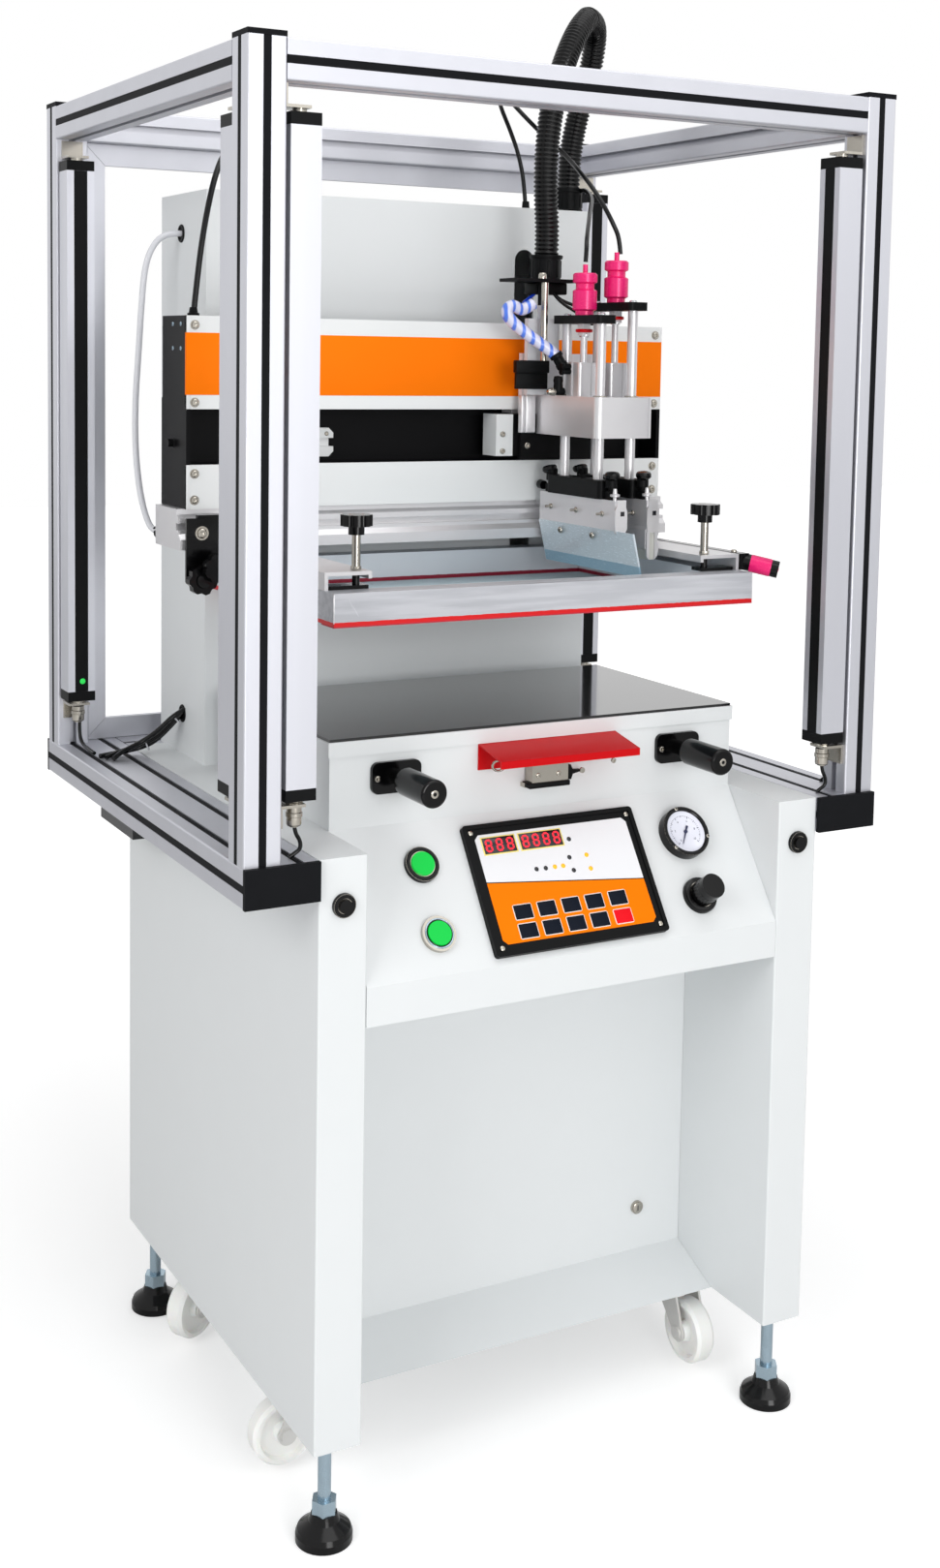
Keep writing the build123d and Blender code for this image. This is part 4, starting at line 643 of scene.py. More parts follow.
def nurbs(name, points, diameter):
    """A smooth spline with these control points, as thick as its diameter, all in millimetres."""
    data = bpy.data.curves.new(name, "CURVE")
    data.dimensions = "3D"
    data.resolution_u = 10
    data.bevel_depth = diameter / 2 * MM
    data.bevel_resolution = 4
    data.use_fill_caps = True
    spline = data.splines.new("NURBS")
    spline.points.add(len(points) - 1)
    for point, place in zip(spline.points, points):
        point.co = (*(value * MM for value in place), 1)
    spline.order_u = 3
    spline.use_endpoint_u = True
    return shown(name, data)


def line_of(points):
    """Points in metres along the spline that a route makes."""
    curve = nurbs("line", points, 0)
    line = mesh_of(curve)
    path = [v.co.copy() for v in line.vertices]
    bpy.data.meshes.remove(line)
    data = curve.data
    bpy.data.objects.remove(curve)
    bpy.data.curves.remove(data)
    return path


def length_of(path):
    """How long a line of points is, in metres."""
    return sum((b - a).length for a, b in zip(path, path[1:]))


def spaced(path, step):
    """The points of a line taken at an even spacing."""
    total = length_of(path)
    count = max(2, round(total / step))
    found, run, i = [path[0].copy()], 0.0, 0
    for k in range(1, count):
        want = total * k / count
        while run + (path[i + 1] - path[i]).length < want:
            run += (path[i + 1] - path[i]).length
            i += 1
        span = path[i + 1] - path[i]
        found.append(path[i] + span * ((want - run) / span.length))
    return found + [path[-1].copy()]


def corrugated(name, route, node, body, sizes):
    """A corrugated hose that follows a route, with four rings to a rib."""
    path = line_of(route)
    rings = spaced(path, sizes.rib / 4)
    outer = sizes.hose / 2 / MM
    inner = outer - sizes.rib_depth / MM
    radii = [inner if i % 4 in (0, 3) else outer for i in range(len(rings))]
    made = piece(name, "hose_polyamide", body, tube([p / MM for p in rings], radii, 28), sharp=60)
    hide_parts(node)


def thin_cord(name, diameter, look, body, other, route):
    """A tube or cable along its route: one that reaches another body is left as a still mesh on no body, the
    others ride their body.
    """
    path = line_of(route)
    made = nurbs(name, route, diameter)
    if other:
        data = mesh_of(made)
        bpy.data.objects.remove(made)
        data.materials.clear()
        data.materials.append(MATERIALS[look])
        data.shade_smooth()
        made = shown(name, data)
        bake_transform(made)
    else:
        made.data.materials.append(MATERIALS[look])
        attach(made, body)


def make_cords(sizes):
    """The hose in its two halves, the thin tubes and the cables."""
    corrugated("hose_carriage_half", HOSE_FRONT, "hose_front", "carriage", sizes)
    corrugated("hose_machine_half", HOSE_REAR, "hose_rear", "machine", sizes)
    for cord in THIN_CORDS:
        thin_cord(*cord)
    for i, (x, y) in enumerate(CURTAINS[:4] + CURTAINS[5:], 1):
        route = [(x + dx, y + dy, z) for dx, dy, z in LEAD]
        thin_cord(f"curtain_lead_{i}", 4.2, "black_tube", "machine", None, route)
    for cord in CARRIAGE_CORDS:
        thin_cord(*cord)


# Pieces

SEGMENT = [(-2.9, 0), (-1.85, -1.05), (1.85, -1.05), (2.9, 0), (1.85, 1.05), (-1.85, 1.05)]
SEGMENTS = ((0, 6.2, 0), (0, 0, 0), (0, -6.2, 0), (-3.2, 3.1, 90), (3.2, 3.1, 90), (-3.2, -3.1, 90),
            (3.2, -3.1, 90))  # each bar of a figure: its place and its turn
SLANT = 0.06  # how far a figure leans for each millimetre of its height


def make_keypad():
    """The film, displays, keys and lamps of the console's keypad."""
    piece("keypad_rim", "black_nylon", "machine", at(plate(oblong(103.5, 68), 0.6, 5), base=PANEL))
    upper = [(-96.5, 8.2), (96.5, -10.8), (96.5, 56), (91.5, 61), (-91.5, 61), (-96.5, 56)]
    lower = [(-91.5, -61), (91.5, -61), (96.5, -56), (96.5, -12), (-96.5, 7), (-96.5, -56)]
    piece("keypad_upper_film", "film_white", "machine", at(plate(upper, 0.9), base=PANEL))
    piece("keypad_lower_film", "film_orange", "machine", at(plate(lower, 0.9), base=PANEL))

    borders, windows, bars = [], [], []
    for middle, width, count in ((-69.0, 39.5, 3), (-17.0, 52.0, 4)):
        borders.append(at(block((width + 3, 20.5, 0.5), 0.2), (middle, DISPLAY_V, 1.1), base=PANEL))
        windows.append(at(block((width, 18.0, 0.6), 0.25), (middle, DISPLAY_V, 1.4), base=PANEL))
        for i in range(count):
            centre = middle + (i - (count - 1) / 2) * width / count
            bars += [at(plate(SEGMENT, 0.25), (centre + dx + dy * SLANT, DISPLAY_V + dy, 1.7), about=turn,
                        base=PANEL) for dx, dy, turn in SEGMENTS]
    piece("display_borders", "film_yellow", "machine", *borders)
    piece("display_windows", "smoked_window", "machine", *windows)
    piece("display_segments", "red_segment", "machine", *bars)

    keys = [(u, v) for v in (-28.8, -49.6) for u in (-63.3, -33.7, -3.6, 26.0, 56.2)]
    piece("key_borders", "film_pale", "machine",
          *(at(plate(oblong(11.6, 8.6), 0.5, 2), (u, v, 0.8), base=PANEL) for u, v in keys))
    for name, look, spots in (("keys", "film_navy", keys[:-1]), ("stop_key", "film_red", keys[-1:])):
        piece(name, look, "machine",
              *(at(block((21.4, 15.4, 1.1), 0.5, 3), (u, v, 1.5), base=PANEL) for u, v in spots))
    dome = [(2.7, 0), (2.5, 0.5), (1.6, 1.0), (0, 1.2)]
    dark = ((17.8, 44.0), (11.6, 23.5), (12.3, 8.5), (-32.7, 15.3), (-21.2, 15.0))
    lit = ((33.7, 23.7), (34.0, 7.9), (-9.6, 15.2), (0.9, 15.0))
    for name, look, spots in (("dark_lamps", "smoked_window", dark), ("amber_lamps", "amber_lamp", lit)):
        piece(name, look, "machine", *(at(solid(dome, 20), (u, v, 0.8), base=PANEL) for u, v in spots))


def make_console():
    """The keypad, the gauge's flange, dial and scale, the regulator's grip and the buttons' rims."""
    make_keypad()
    piece("console_screws", "nickel_plate", "machine",
          *(at(screw(2.9, 1.6), (u, v, 0.4), base=PANEL) for u in (-99.6, 99.6) for v in (-64.2, 64.2)),
          *(at(screw(2.2, 1.2), polar(27.3, turn, 3.4), base=GAUGE) for turn in (100, 220, 340)))
    flange = [(24.4, 1.2), (24.6, 3.3), (25.6, 4.0), (28.2, 4.0), (29.3, 3.2), (29.6, 0), (29.6, -8.4),
              (28.0, -8.4), (28.0, 1.2)]
    piece("gauge_flange", "glossy_thermoset", "machine", at(hollow(flange, 64), base=GAUGE))
    piece("gauge_dial", "dial_enamel", "machine",
          at(solid([(24.5, 0.2), (24.5, 1.6), (22.4, 0.9), (21.6, 0.5)], 64), base=GAUGE))
    marks = []
    for i in range(DIAL_MARKS + 1):
        turn = DIAL_START - i * DIAL_SWEEP / DIAL_MARKS
        long = 2.6 if i % 8 == 0 else 1.9 if i % 4 == 0 else 1.1
        mark = block((long, 0.5 if i % 4 else 0.75, 0.2))
        marks.append(at(mark, polar(19.4 - long / 2, turn, 0.55), about=turn, base=GAUGE))
    needle = plate([(-7.5, -1.3), (0, -0.9), (16.5, -0.25), (16.5, 0.25), (0, 0.9), (-7.5, 1.3)], 0.5)
    piece("gauge_scale", "dial_ink", "machine", *marks,
          *(at(figures(str(i * 2), 3.6), polar(13.4, DIAL_START - i * DIAL_SWEEP / 5, 0.5), base=GAUGE)
            for i in range(6)),
          at(needle, (0, 0, 1.6), about=NEEDLE_TURN, base=GAUGE),
          at(solid([(2.1, 0.5), (2.1, 2.2), (1.6, 2.6)], 20), base=GAUGE))

    piece("regulator_grip", "glossy_thermoset", "regulator",
          at(fluted(14.35, 15, 26, 0.5), (0, 0, 8.5), base=KNOB),
          at(ring(13.0, 1.1, sides=10), (0, 0, 25.6), base=KNOB),
          at(ring(9.6, 0.6), (0, 0, 28.0), base=KNOB))
    neck = [(15.0, 0.2), (20.6, 0.2), (20.6, 4.6), (19.6, 6.4), (16.6, 7.4), (15.0, 7.4)]
    bezel = [(13.5, 4.4), (15.0, 5.8), (17.6, 5.8), (19.3, 4.6), (19.6, 0.1)]
    side_bezel = [(7.3, 3.2), (8.2, 4.5), (11.2, 4.5), (12.4, 3.4), (12.6, 0.1)]
    piece("console_black_rings", "glossy_thermoset", "machine",
          at(hollow(neck, 48), base=KNOB),
          at(turned(bezel, 56), (-162, 119, 0), base=SLOPE),
          at(ring(14.1, 0.7, 48), (-164, 43, 5.6), base=SLOPE),
          *(at(turned(side_bezel, 40), (x, PEDESTAL_FACE, SIDE_BUTTON_Z), FRONT) for x in (-283.2, 283.2)))
    piece("button_lens_rims", "zinc_plate", "machine",
          at(ring(15.4, 1.0, 48, 10), (-164, 43, 5.0), base=SLOPE))
    piece("lock_barrel", "nickel_plate", "machine",
          at(solid([(6.4, 0), (6.4, 0.8), (5.4, 1.4)], 32), (193.5, -163, 193), FRONT))
    # The key slot: a nearly black sheet on the barrel, painted shade for the hollow keyway.
    piece("lock_slot", "smoked_window", "machine",
          at(block((1.0, 6.4, 0.5), 0.1), (193.5, -164.5, 193), FRONT))


def make_head():
    """The orange band, the screws, the plates' edges and the fittings of the print head."""
    piece("orange_band", "orange_enamel", "print_head", at(block((642.0, 0.5, 70.0), 0.2), (0, 18.9, 1208)))
    piece("orange_band_return", "orange_enamel", "print_head",
          at(block((0.4, 3.8, 70.0), 0.15), (-321.0, 21.0, 1208)))
    corners = [(x, HEAD_FACE, z) for x in (-311, 311) for z in (1251.5, 1164.5, 1084, 1054)]
    fork = ((-129.8, 58.8, 1176), (-70.5, 58.8, 1176), (-14.6, 45, 1164))
    piece("head_screws", "nickel_plate", "print_head",
          *(at(screw(4.2, 2.6), place, FRONT) for place in corners),
          *(at(washer(4.4, 5.6, 0.7), place, FRONT) for place in corners),
          *(at(screw(2.2, 1.4), place, FRONT) for place in fork),
          *(at(screw(2.6, 1.6), (x, 49, 1127), FRONT) for x in (-165, -135)))
    piece("end_plate_screws", "zinc_plate", "print_head",
          *(at(screw(2.6, 0.9), (x, y, z), axis) for x, axis in ((-321, LEFT), (321, RIGHT))
            for y in (37, 63) for z in (1252.5, 1225)))
    piece("head_plate_edges", "white_plate", "print_head",
          *(at(block((5.4, 4.2, high - low), 0.3), (x, 21, (low + high) / 2)) for x in (-318.3, 318.3)
            for low, high in ((1044, 1094), (1157, 1262))))
    piece("end_plate_step", "black_anodised", "print_head",
          at(block((12, 3.6, 124), 0.4), (-315, 100.6, 1106)))
    piece("head_air_fitting", "black_nylon", "print_head",
          at(solid([(6, 0), (6, 5), (4.6, 6), (4.6, 12)]), (-316, 62, 1117), LEFT),
          at(solid([(6.5, 0), (6.5, 4), (5, 5), (5, 13), (3.8, 14)]), (-323, 101, 1008), (0, 0.94, 0.34)),
          at(solid([(7, 0), (7, 3), (5.2, 4), (4.2, 10)]), (-299, 57, 1262)))


def make_column():
    """Grommets where tubes and cables leave the column, the hose socket's ribs and the cable ties."""
    collar = [(7.5, 0.4), (8.0, 1.6), (10.2, 1.6), (11.0, 0.8), (11.0, 0)]
    gland = [(6.4, 0), (6.4, 4), (5.0, 6), (4.4, 14)]
    piece("column_grommets", "black_nylon", "machine",
          *(at(solid(collar, 32), (-265, y, z), LEFT) for y, z in ((191.5, 1363.3), (183, 776.8))),
          *(at(solid(gland), (x, y, COLUMN_TOP)) for x, y in ((184, 137), (254, 126), (-190, 150))))
    piece("hose_socket_ribs", "black_nylon", "machine",
          *(at(ring(18.2, 0.9), (*HOSE_SOCKET, z)) for z in (1413, 1436.5)),
          *ribs(12, (1.4, 3.0, 17), 0.4, 18.1, 1424.5, HOSE_SOCKET))
    piece("cable_ties", "white_tube", "machine",
          at(ring(7.4, 0.9, 24), (-274, 184, 771), (-0.8, 0.2, -0.75)),
          at(ring(7.6, 0.9, 24), (-306, 197, 739), (-0.9, 0.35, -0.35)))


def make_unit(unit, x, top):
    """Rings, screws, knobs and jaw ends of the flood unit or the squeegee unit."""
    flood = unit == "flood"
    body = f"{unit}_unit"
    face = x - (7 if flood else 8)  # left face of the holder
    middle = x if flood else x + 0.5  # middle of the jaws
    red_ring = [(5.5, 0), (9.5, 0), (10.3, 1), (10.3, 3), (9.5, 4), (5.5, 4)]
    piece(f"{unit}_rings", "red_enamel", body, at(hollow(red_ring, 36), (x, UNIT_Y, top - 20.2)))
    piece(f"{unit}_rod_fittings", "hard_chrome", body,
          at(hexagon(10, 5), (x, UNIT_Y, top - 26)),
          *(at(screw(4.6, 2.6), (x, y, top - 0.2)) for y in ROD_YS),
          at(ring(9.0, 0.7), (x, UNIT_Y, top + 28.6)))
    bolts = [(face, y, 1040) for y in (-140, -82, -24)]
    piece(f"{unit}_holder_screws", "nickel_plate", body,
          *(at(screw(3.4, 2.2), place, LEFT) for place in bolts),
          *(at(pin(1.7, 8, 16), place, LEFT) for place in bolts),
          *(at(screw(4.2, 2.4), (face - 0.4, y, 1013), (-0.95, 0, -0.3)) for y in (-120, -48) if flood))
    cap = [(4.0, 0), (4.4, 4), (7.6, 5.5), (9.2, 7.5), (9.2, 11), (7.8, 12.8), (4.5, 13.6), (0, 13.8)]
    piece(f"{unit}_knobs", "glossy_thermoset", body,
          *(at(solid(cap), (x, y, 1076), (-0.1, lean, 1)) for y, lean in ((-149, -0.12), (-11, 0.25))),
          at(solid([(5.5, 0), (5.8, 9), (4.4, 11)], 20), (x - 3, 1, 1064), (0, 1, 0.1)))
    jaw = [(-7.4, 1019), (5.5, 1019), (8.4, 1024), (8.4, 1044), (6.4, 1050), (6.4, 1058), (-5.6, 1058),
           (-5.6, 1052), (-8.4, 1046), (-8.4, 1030)]
    stud = [(2.2, 0), (2.2, 5), (5.6, 6), (5.8, 8.2), (2.6, 9.4), (2.0, 15), (0, 15.4)]
    cheeks = () if flood else (
        [(-7.5, 991), (-3.8, 987), (-3.8, 1020), (-7.5, 1020)],
        [(3.8, 987), (7.5, 991), (9.6, 1002), (7.0, 1012), (9.6, 1020), (3.8, 1020)],
    )
    piece(f"{unit}_jaw_ends", "machined_aluminium", body,
          at(plate(jaw, 3.4, 0.6), (middle, -166.6, 0), FRONT),
          at(solid(stud, 20), (middle - 5.5, -164, 1056)),
          *(at(plate(cheek, 3.0, 0.5), (x, -166.8, 0), FRONT) for cheek in cheeks))
    piece(f"{unit}_jaw_windows", "smoked_window", body,
          at(block((5.4, 5.4, 0.5), 0.3), (middle + 1.5, -170.1, 1042), FRONT))


def make_carriage():
    """Rings, screws, fittings and plates of the carriage and of its two units."""
    piece("carriage_screws", "nickel_plate", "carriage",
          *(at(screw(3.6, 2.2), (84, 11, z), FRONT) for z in (1126.6, 1105.8)),
          at(screw(4.4, 2.8), (114, 3, 1113), FRONT),
          at(screw(5.2, 7), (117, -22, 1316)),
          at(pin(4.3, 94, 28), (114, -33.4, 1217)),
          *(at(ring(7.4, 1.1, 28), (x, y, 1176.4)) for x in (FLOOD_X, SQUEEGEE_X) for y in ROD_YS))
    piece("carriage_side_plate", "machined_aluminium", "carriage",
          at(block((14, 10, 46), 1.5, 3), (113, -2.5, 1152)),
          at(block((5.5, 8, 46), 1.2, 3), (103.4, -1.4, 1152)))
    elbow = [(8.2, 0), (8.2, 5), (6.4, 6), (6.4, 13), (7.4, 14), (7.4, 19), (4.5, 21)]
    throttle = [(5.4, 0), (5.8, 4), (5.2, 10), (6.0, 13), (5.0, 18), (0, 19)]
    piece("carriage_black_parts", "black_nylon", "carriage",
          at(block((46, 9, 15), 1.2), (97, -33.6, 1210)),
          at(block((44, 5, 20), 0.8), (98, -31.6, 1193)),
          at(solid(elbow, 28), (116.5, -55.5, 1226), (0.5, -0.19, -0.84)),
          *(at(solid([(3.4, 0), (3.4, 9), (4.2, 10), (4.2, 13)], 20), (126.6, -74, z), LEFT)
            for z in (1205, 1211)),
          at(solid(throttle), (119, -60, 1181)),
          at(solid([(4.6, 0), (4.6, 10), (3.6, 13)]), (126.6, -60, 1181), LEFT))
    piece("carriage_silencer", "nickel_plate", "carriage",
          at(solid([(4.4, 0), (4.4, 5), (3.2, 9), (0, 11)]), (113.8, -60, 1180.6), LEFT),
          at(hexagon(9.5, 4), (113.9, -60, 1180.6), LEFT))
    collar = [(15.4, 1341), (19.6, 1341), (20.4, 1343), (20.4, 1345.5), (18.2, 1346), (15.4, 1346)]
    piece("hose_collar", "black_nylon", "carriage",
          at(hollow(collar, 48), (*HOSE_FOOT, 0)),
          *ribs(9, (1.6, 3.4, 21), 0.5, 18.0, 1329, HOSE_FOOT, first=10),
          at(block((44, 30, 14), 1.5), (*HOSE_FOOT, 1304.9)))
    make_unit("flood", FLOOD_X, 1272)
    make_unit("squeegee", SQUEEGEE_X, 1288)


def make_screen():
    """Details of the screen's clamps and of its frame, and the lever's grip."""
    clamps = [(x, y) for x in (-222, 222) for y in (-223, -14)]
    side_bolt, side_knob = (-308, 3, 1018), (-311, 4, 966)
    piece("clamp_caps", "nickel_plate", "print_head",
          *(at(hexagon(10, 4), (*clamp, 997.9)) for clamp in clamps),
          *(at(ring(8.6, 0.6, 28), (*clamp, 1055.5)) for clamp in clamps),
          *(at(hollow([(4.1, 0), (4.6, 0), (4.6, 36.5), (4.1, 36.5)]), (*clamp, 998.2)) for clamp in clamps),
          at(screw(5.6, 3.4), side_bolt, FRONT),
          at(washer(5.8, 8.2, 1.0, 28), side_bolt, FRONT),
          at(screw(3.6, 2.4), (271.5, -214, 998)))
    piece("side_clamp", "glossy_thermoset", "print_head",
          at(plate([(-326, 962), (-292, 958), (-292, 1034), (-326, 1035)], 4, 1.5), (0, 7.1, 0), FRONT),
          at(fluted(17, 13, 7, 2.6), (-311, 1, 966), FRONT),
          at(pin(7.5, 8, 28), side_knob, FRONT),
          at(solid([(9, 0), (8, 3), (0, 3.6)], 28), (-311, -12, 966), FRONT))
    lever = Vector((0.74, -0.64, -0.2)).normalized()
    foot = Vector((273, -225, 988.5)) + lever * 12
    grip = [(10.2, -0.3), (10.4, 1.5), (10.4, 22), (9.6, 27), (7.4, 31), (4.0, 33.0), (0, 33.7)]
    piece("lever_grip", "pink_anodised", "print_head", at(solid(grip, 36), foot, lever))
    piece("screen_corner_welds", "machined_aluminium", "print_head",
          *(at(block((1.0, 1.0, 30), 0.4), (x, y, 963))
            for x in (-263.7888, 263.7888) for y in (-260.6, 98.6)))


def make_table():
    """Grip screws, the pull ring of the flap and the switch's parts."""
    grip_end = [(4.6, 0), (4.6, 0.7), (3.6, 1.2), (2.0, 1.2), (2.0, 0.4)]
    lever = [(22, 758), (31, 757), (33, 763), (43, 765), (43, 767.5), (33, 768), (30, 774), (22, 773)]
    piece("table_screws", "nickel_plate", "machine",
          *(at(screw(3.4, 2.2), (x + side, -241, GRIP_Z), FRONT) for x in GRIP_XS for side in (-23, 23)),
          *(at(solid(grip_end, 28), (x, -327.1, GRIP_Z), FRONT) for x in GRIP_XS),
          at(ring(7.0, 1.4, 36, 10), (-66, -258, 783), (0.35, 1, 0.5)),
          at(screw(3.0, 2.0), (62, -286.5, 783), FRONT),
          *(at(screw(3.0, 1.4), (x, -253, 766), FRONT) for x in (-13, 13)),
          at(pin(3.2, 2.2), (45, -249, 766), FRONT))
    piece("switch_base", "black_nylon", "machine",
          at(block((52, 17, 6), 1.0), (1, -246.5, 755)),
          at(plate(lever, 4, 0.8), (0, -246, 0), FRONT))
    piece("grip_rims", "glossy_thermoset", "machine",
          *(at(ring(12.6, 1.6, sides=10), (x, -326.4, GRIP_Z), FRONT) for x in GRIP_XS))


def make_frame():
    """The lamp and the connectors of the curtains, and the beams' groove strips and screws."""
    connector = [(4.8, 0), (5.2, 1.5), (7.3, 2.2), (7.6, 3), (7.6, 10), (8.5, 10.6), (8.5, 14.4), (7.6, 15),
                 (7.6, 20)]
    piece("curtain_lamp", "green_lamp", "machine",
          at(solid([(3.6, 0), (3.2, 0.8), (0, 1.1)], 20), (-369, 256.2, 812), FRONT))
    piece("curtain_connectors", "nickel_plate", "machine",
          *(at(solid(connector, 28), (*curtain, 758.5)) for curtain in CURTAINS),
          *(at(hexagon(15, 4.5, 0.5), (*curtain, 782.2)) for curtain in CURTAINS))
    piece("beam_groove_strips", "groove_strip", "machine",
          *(at(block((6.4, long, 3.6), 0.3), (x, 0, BEAM_TOP))
            for x, long in ((-370, 584), (-330, 662), (330, 662), (370, 584))),
          *(at(block((616, 6.4, 3.6), 0.3), (0, y, BEAM_TOP)) for y in (273, 313)))
    piece("beam_screws", "nickel_plate", "machine",
          *(at(screw(4.5, 2.0), (x, y, 1519.8)) for x in (-370, 370) for y in (-313, 313)))


def make_feet():
    """The round edges of the levelling feet's bases."""
    feet = [(x, y) for x in (-285, 285) for y in (-304.9, 223.9)]
    piece("foot_hubs", "glossy_thermoset", "machine",
          *(at(ring(28.6, 1.3, 48, 10), (*foot, 4.4)) for foot in feet),
          *(at(ring(12.5, 1.4, 36, 10), (*foot, 27.2)) for foot in feet))


# The stage


def make_camera():
    """The camera at the photograph's place and angle."""
    data = bpy.data.cameras.new("camera")
    data.lens = CAMERA_LENS
    data.shift_y = CAMERA_SHIFT_Y
    camera = shown("camera", data)
    right = Vector(CAMERA_RIGHT).normalized()
    back = right.cross(Vector(CAMERA_UP)).normalized()
    up = back.cross(right)
    camera.matrix_world = Matrix.Translation(CAMERA_PLACE) @ Matrix((right, up, back)).transposed().to_4x4()
    bpy.context.scene.camera = camera


def shown_white(tree, dim):
    """1 to camera, glossy and transmission rays, and a dimmer strength otherwise."""
    rays = add(tree, "LightPath").outputs
    seen = worked(tree, "MAXIMUM", rays["Is Camera Ray"], rays["Is Glossy Ray"])
    seen = worked(tree, "MAXIMUM", seen, rays["Is Transmission Ray"])
    return ranged(tree, seen, To_Min=dim, To_Max=1.0)


def make_stage(light):
    """A white room: pale floor, white backdrop and four soft lamps."""
    white = (1, 1, 1, 1)
    world = bpy.data.worlds.new("studio")
    bpy.context.scene.world = world
    world.use_nodes = True
    tree = world.node_tree
    wire(tree, tree.nodes["Background"], Strength=shown_white(tree, light.room), Color=white)

    mesh = bmesh.new()
    bmesh.ops.create_grid(mesh, x_segments=1, y_segments=1, size=12.0)
    data = bpy.data.meshes.new("floor")
    mesh.to_mesh(data)
    mesh.free()
    # Pale studio floor: it glows to the camera, more the further out, so that no horizon shows.
    tree, surface = start("pale_floor")
    away = add(tree, "VectorMath", {"operation": "LENGTH"}, in0=object_place(tree)).outputs["Value"]
    share = ranged(tree, away, From_Min=0.5, From_Max=2.6, To_Min=0.34, To_Max=0.62)
    glow = worked(tree, "MULTIPLY", add(tree, "LightPath").outputs["Is Camera Ray"], share)
    wire(tree, surface, Base_Color=colour("#F4F4F4"), Roughness=0.7, Emission_Color=white,
         Emission_Strength=glow)
    data.materials.append(MATERIALS["pale_floor"])
    shown("floor", data)

    for name, place, size, power in (
        ("key", (1.6, -3.4, 2.9), 2.4, light.key),
        ("fill", (-3.0, -1.6, 2.2), 2.0, light.fill),
        ("top", (0.3, -0.9, 3.6), 2.2, light.top),
        ("front", (-0.4, -3.9, 1.2), 1.4, light.front),
    ):
        lamp = bpy.data.lights.new(name, "AREA")
        lamp.size = size
        lamp.energy = power
        made = shown(name, lamp)
        made.location = place
        made.visible_glossy = name != "fill"
        aim = Vector((0, 0, 0.8)) - Vector(place)
        made.rotation_euler = aim.to_track_quat("-Z", "Y").to_euler()
    bpy.context.scene.view_settings.view_transform = "Standard"


# The add-on


class FinishTones(bpy.types.PropertyGroup):
    """Colours of the painted and anodised parts."""

    coat: FloatVectorProperty(name="Powder coat", description="Colour of the cabinet, table and column",
                              default=colour("#DFE2E3")[:3], subtype="COLOR", min=0, max=1)
    band: FloatVectorProperty(name="Front band", description="Colour of the band on the print head",
                              default=colour("#FF7A00")[:3], subtype="COLOR", min=0, max=1)
    knob: FloatVectorProperty(name="Pressure knobs", description="Colour of the two pressure adjusters",
                              default=colour("#EE1F74")[:3], subtype="COLOR", min=0, max=1)
    flap: FloatVectorProperty(name="Table flap", description="Colour of the bent flap on the table",
                              default=colour("#C60810")[:3], subtype="COLOR", min=0, max=1)


class FittingSizes(bpy.types.PropertyGroup):
    """Sizes of the corrugated hose."""

    hose: FloatProperty(name="Hose", description="Outside diameter of the corrugated hose", default=0.030,
                        min=0.02, max=0.05, unit="LENGTH")
    rib: FloatProperty(name="Rib spacing", description="Distance from rib to rib along the hose",
                       default=0.0054, min=0.003, max=0.01, unit="LENGTH")
    rib_depth: FloatProperty(name="Rib depth", description="How deep the grooves between the ribs are",
                             default=0.0017, min=0.0005, max=0.004, unit="LENGTH")


class StudioLight(bpy.types.PropertyGroup):
    """Strength of the studio's light."""

    key: FloatProperty(name="Key lamp", description="Power of the lamp at the front right", default=15,
                       min=0, max=500, unit="POWER")
    fill: FloatProperty(name="Fill lamp", description="Power of the lamp at the left", default=46,
                        min=0, max=500, unit="POWER")
    top: FloatProperty(name="Top lamp", description="Power of the lamp above", default=26,
                       min=0, max=500, unit="POWER")
    front: FloatProperty(name="Front lamp", description="Power of the low lamp in front", default=45,
                         min=0, max=500, unit="POWER")
    room: FloatProperty(name="Room", description="Strength of the light from all sides", default=0.45,
                        min=0, max=1)


class MACHINE_OT_stage(bpy.types.Operator):
    """Make the camera, the floor, the backdrop and the lamps"""

    bl_idname = "machine.stage"
    bl_label = "Stage"

    def execute(self, context):
        make_camera()
        make_stage(context.scene.machine_light)
        return {"FINISHED"}


class MACHINE_OT_finishes(bpy.types.Operator):
    """Make every finish and give it to the parts of the frame, cabinet, head and carriage"""

    bl_idname = "machine.finishes"
    bl_label = "Finishes"

    def execute(self, context):
        make_materials(context.scene.machine_tones)
        return {"FINISHED"}


class MACHINE_OT_cords(bpy.types.Operator):
    """Make the corrugated hose, the thin tubes and the cables"""

    bl_idname = "machine.cords"
    bl_label = "Hose and cables"

    def execute(self, context):
        make_cords(context.scene.machine_sizes)
        return {"FINISHED"}


class MACHINE_OT_console(bpy.types.Operator):
    """Make the keypad, the gauge and the console's small parts"""

    bl_idname = "machine.console"
    bl_label = "Console"

    def execute(self, context):
        make_console()
        return {"FINISHED"}


class MACHINE_OT_head(bpy.types.Operator):
    """Make the head's band, screws, edges and fittings"""

    bl_idname = "machine.head"
    bl_label = "Print head"

    def execute(self, context):
        make_head()
        return {"FINISHED"}


class MACHINE_OT_column(bpy.types.Operator):
    """Make the column's grommets, socket ribs and cable ties"""

    bl_idname = "machine.column"
    bl_label = "Column"

    def execute(self, context):
        make_column()
        return {"FINISHED"}


class MACHINE_OT_carriage(bpy.types.Operator):
    """Make the small parts of the carriage and its units"""

    bl_idname = "machine.carriage"
    bl_label = "Carriage"

    def execute(self, context):
        make_carriage()
        return {"FINISHED"}


class MACHINE_OT_screen(bpy.types.Operator):
    """Make the small parts of the screen's clamps and frame"""

    bl_idname = "machine.screen"
    bl_label = "Screen"

    def execute(self, context):
        make_screen()
        return {"FINISHED"}


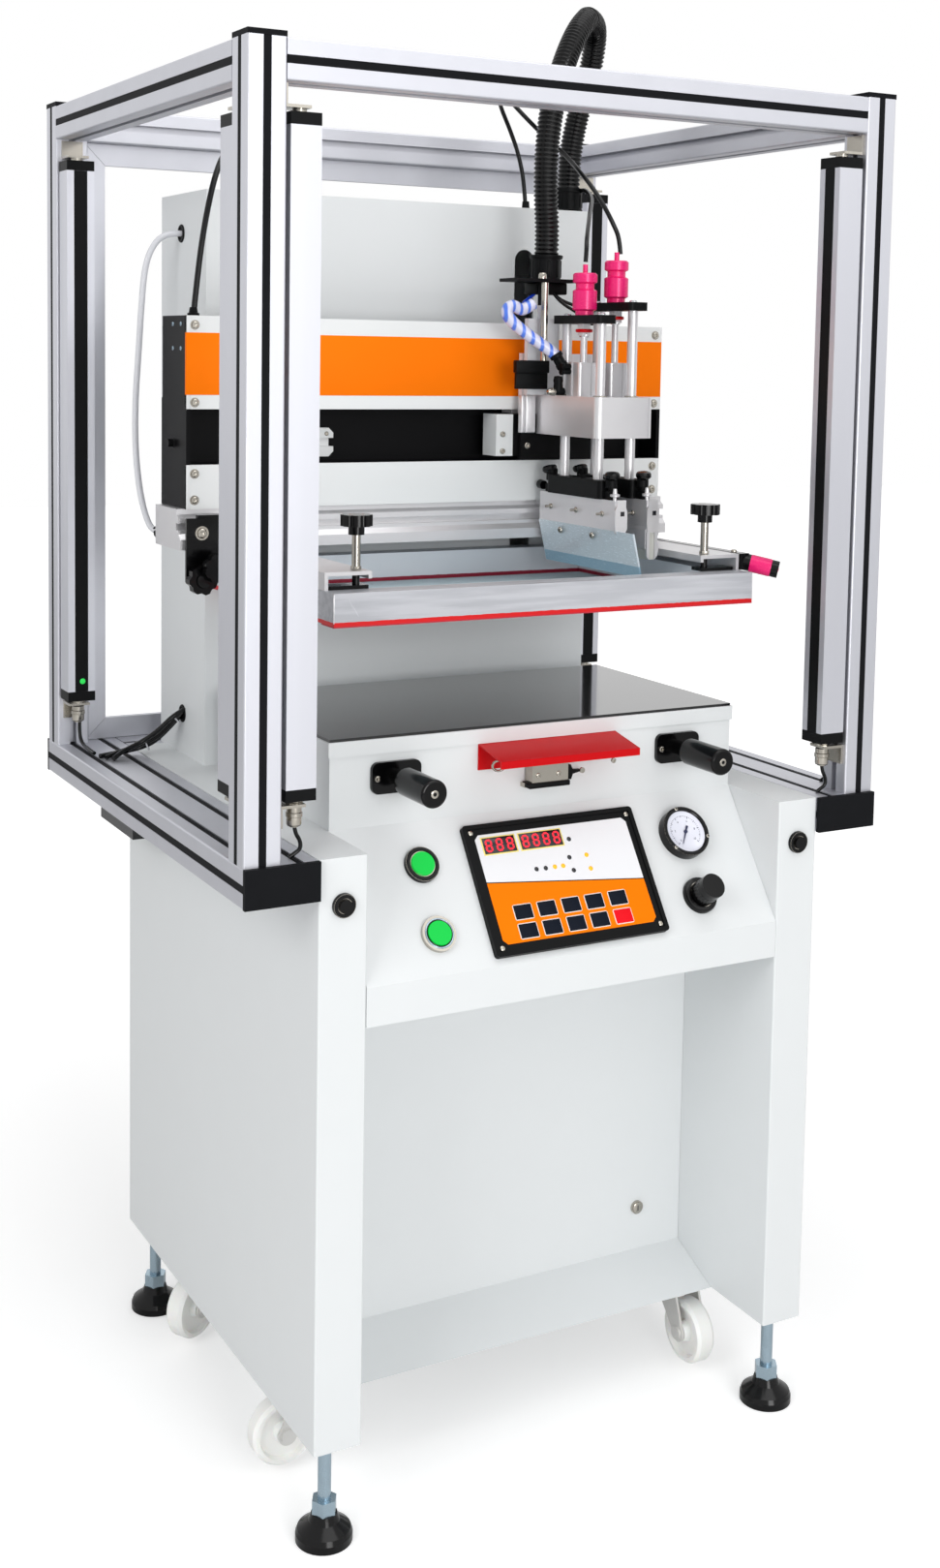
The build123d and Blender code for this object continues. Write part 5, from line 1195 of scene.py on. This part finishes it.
class MACHINE_OT_table(bpy.types.Operator):
    """Make the grips' screws, the flap's ring and the switch's parts"""

    bl_idname = "machine.table"
    bl_label = "Table"

    def execute(self, context):
        make_table()
        return {"FINISHED"}


class MACHINE_OT_frame(bpy.types.Operator):
    """Make the safety frame's lamp, connectors, groove strips and screws"""

    bl_idname = "machine.frame"
    bl_label = "Safety frame"

    def execute(self, context):
        make_frame()
        return {"FINISHED"}


class MACHINE_OT_feet(bpy.types.Operator):
    """Make the round edges of the feet"""

    bl_idname = "machine.feet"
    bl_label = "Feet"

    def execute(self, context):
        make_feet()
        return {"FINISHED"}


OPERATORS = (MACHINE_OT_stage, MACHINE_OT_finishes, MACHINE_OT_cords, MACHINE_OT_console, MACHINE_OT_head,
             MACHINE_OT_column, MACHINE_OT_carriage, MACHINE_OT_screen, MACHINE_OT_table, MACHINE_OT_frame,
             MACHINE_OT_feet)


class MACHINE_PT_panel(bpy.types.Panel):
    """The machine's operators, sizes and colours"""

    bl_idname = "MACHINE_PT_panel"
    bl_label = "Screen printing machine"
    bl_space_type = "VIEW_3D"
    bl_region_type = "UI"
    bl_category = "Machine"

    def draw(self, context):
        for group in (context.scene.machine_tones, context.scene.machine_sizes, context.scene.machine_light):
            for name in group.__annotations__:
                self.layout.prop(group, name)
        for operator in OPERATORS:
            self.layout.operator(operator.bl_idname)


CLASSES = (FinishTones, FittingSizes, StudioLight, *OPERATORS, MACHINE_PT_panel)


def register():
    for made in CLASSES:
        bpy.utils.register_class(made)
    bpy.types.Scene.machine_tones = PointerProperty(type=FinishTones)
    bpy.types.Scene.machine_sizes = PointerProperty(type=FittingSizes)
    bpy.types.Scene.machine_light = PointerProperty(type=StudioLight)


def unregister():
    del bpy.types.Scene.machine_light
    del bpy.types.Scene.machine_sizes
    del bpy.types.Scene.machine_tones
    for made in reversed(CLASSES):
        bpy.utils.unregister_class(made)


def main():
    register()
    for operator in OPERATORS:
        group, name = operator.bl_idname.split(".")
        getattr(getattr(bpy.ops, group), name)()


if __name__ == "__main__":
    main()
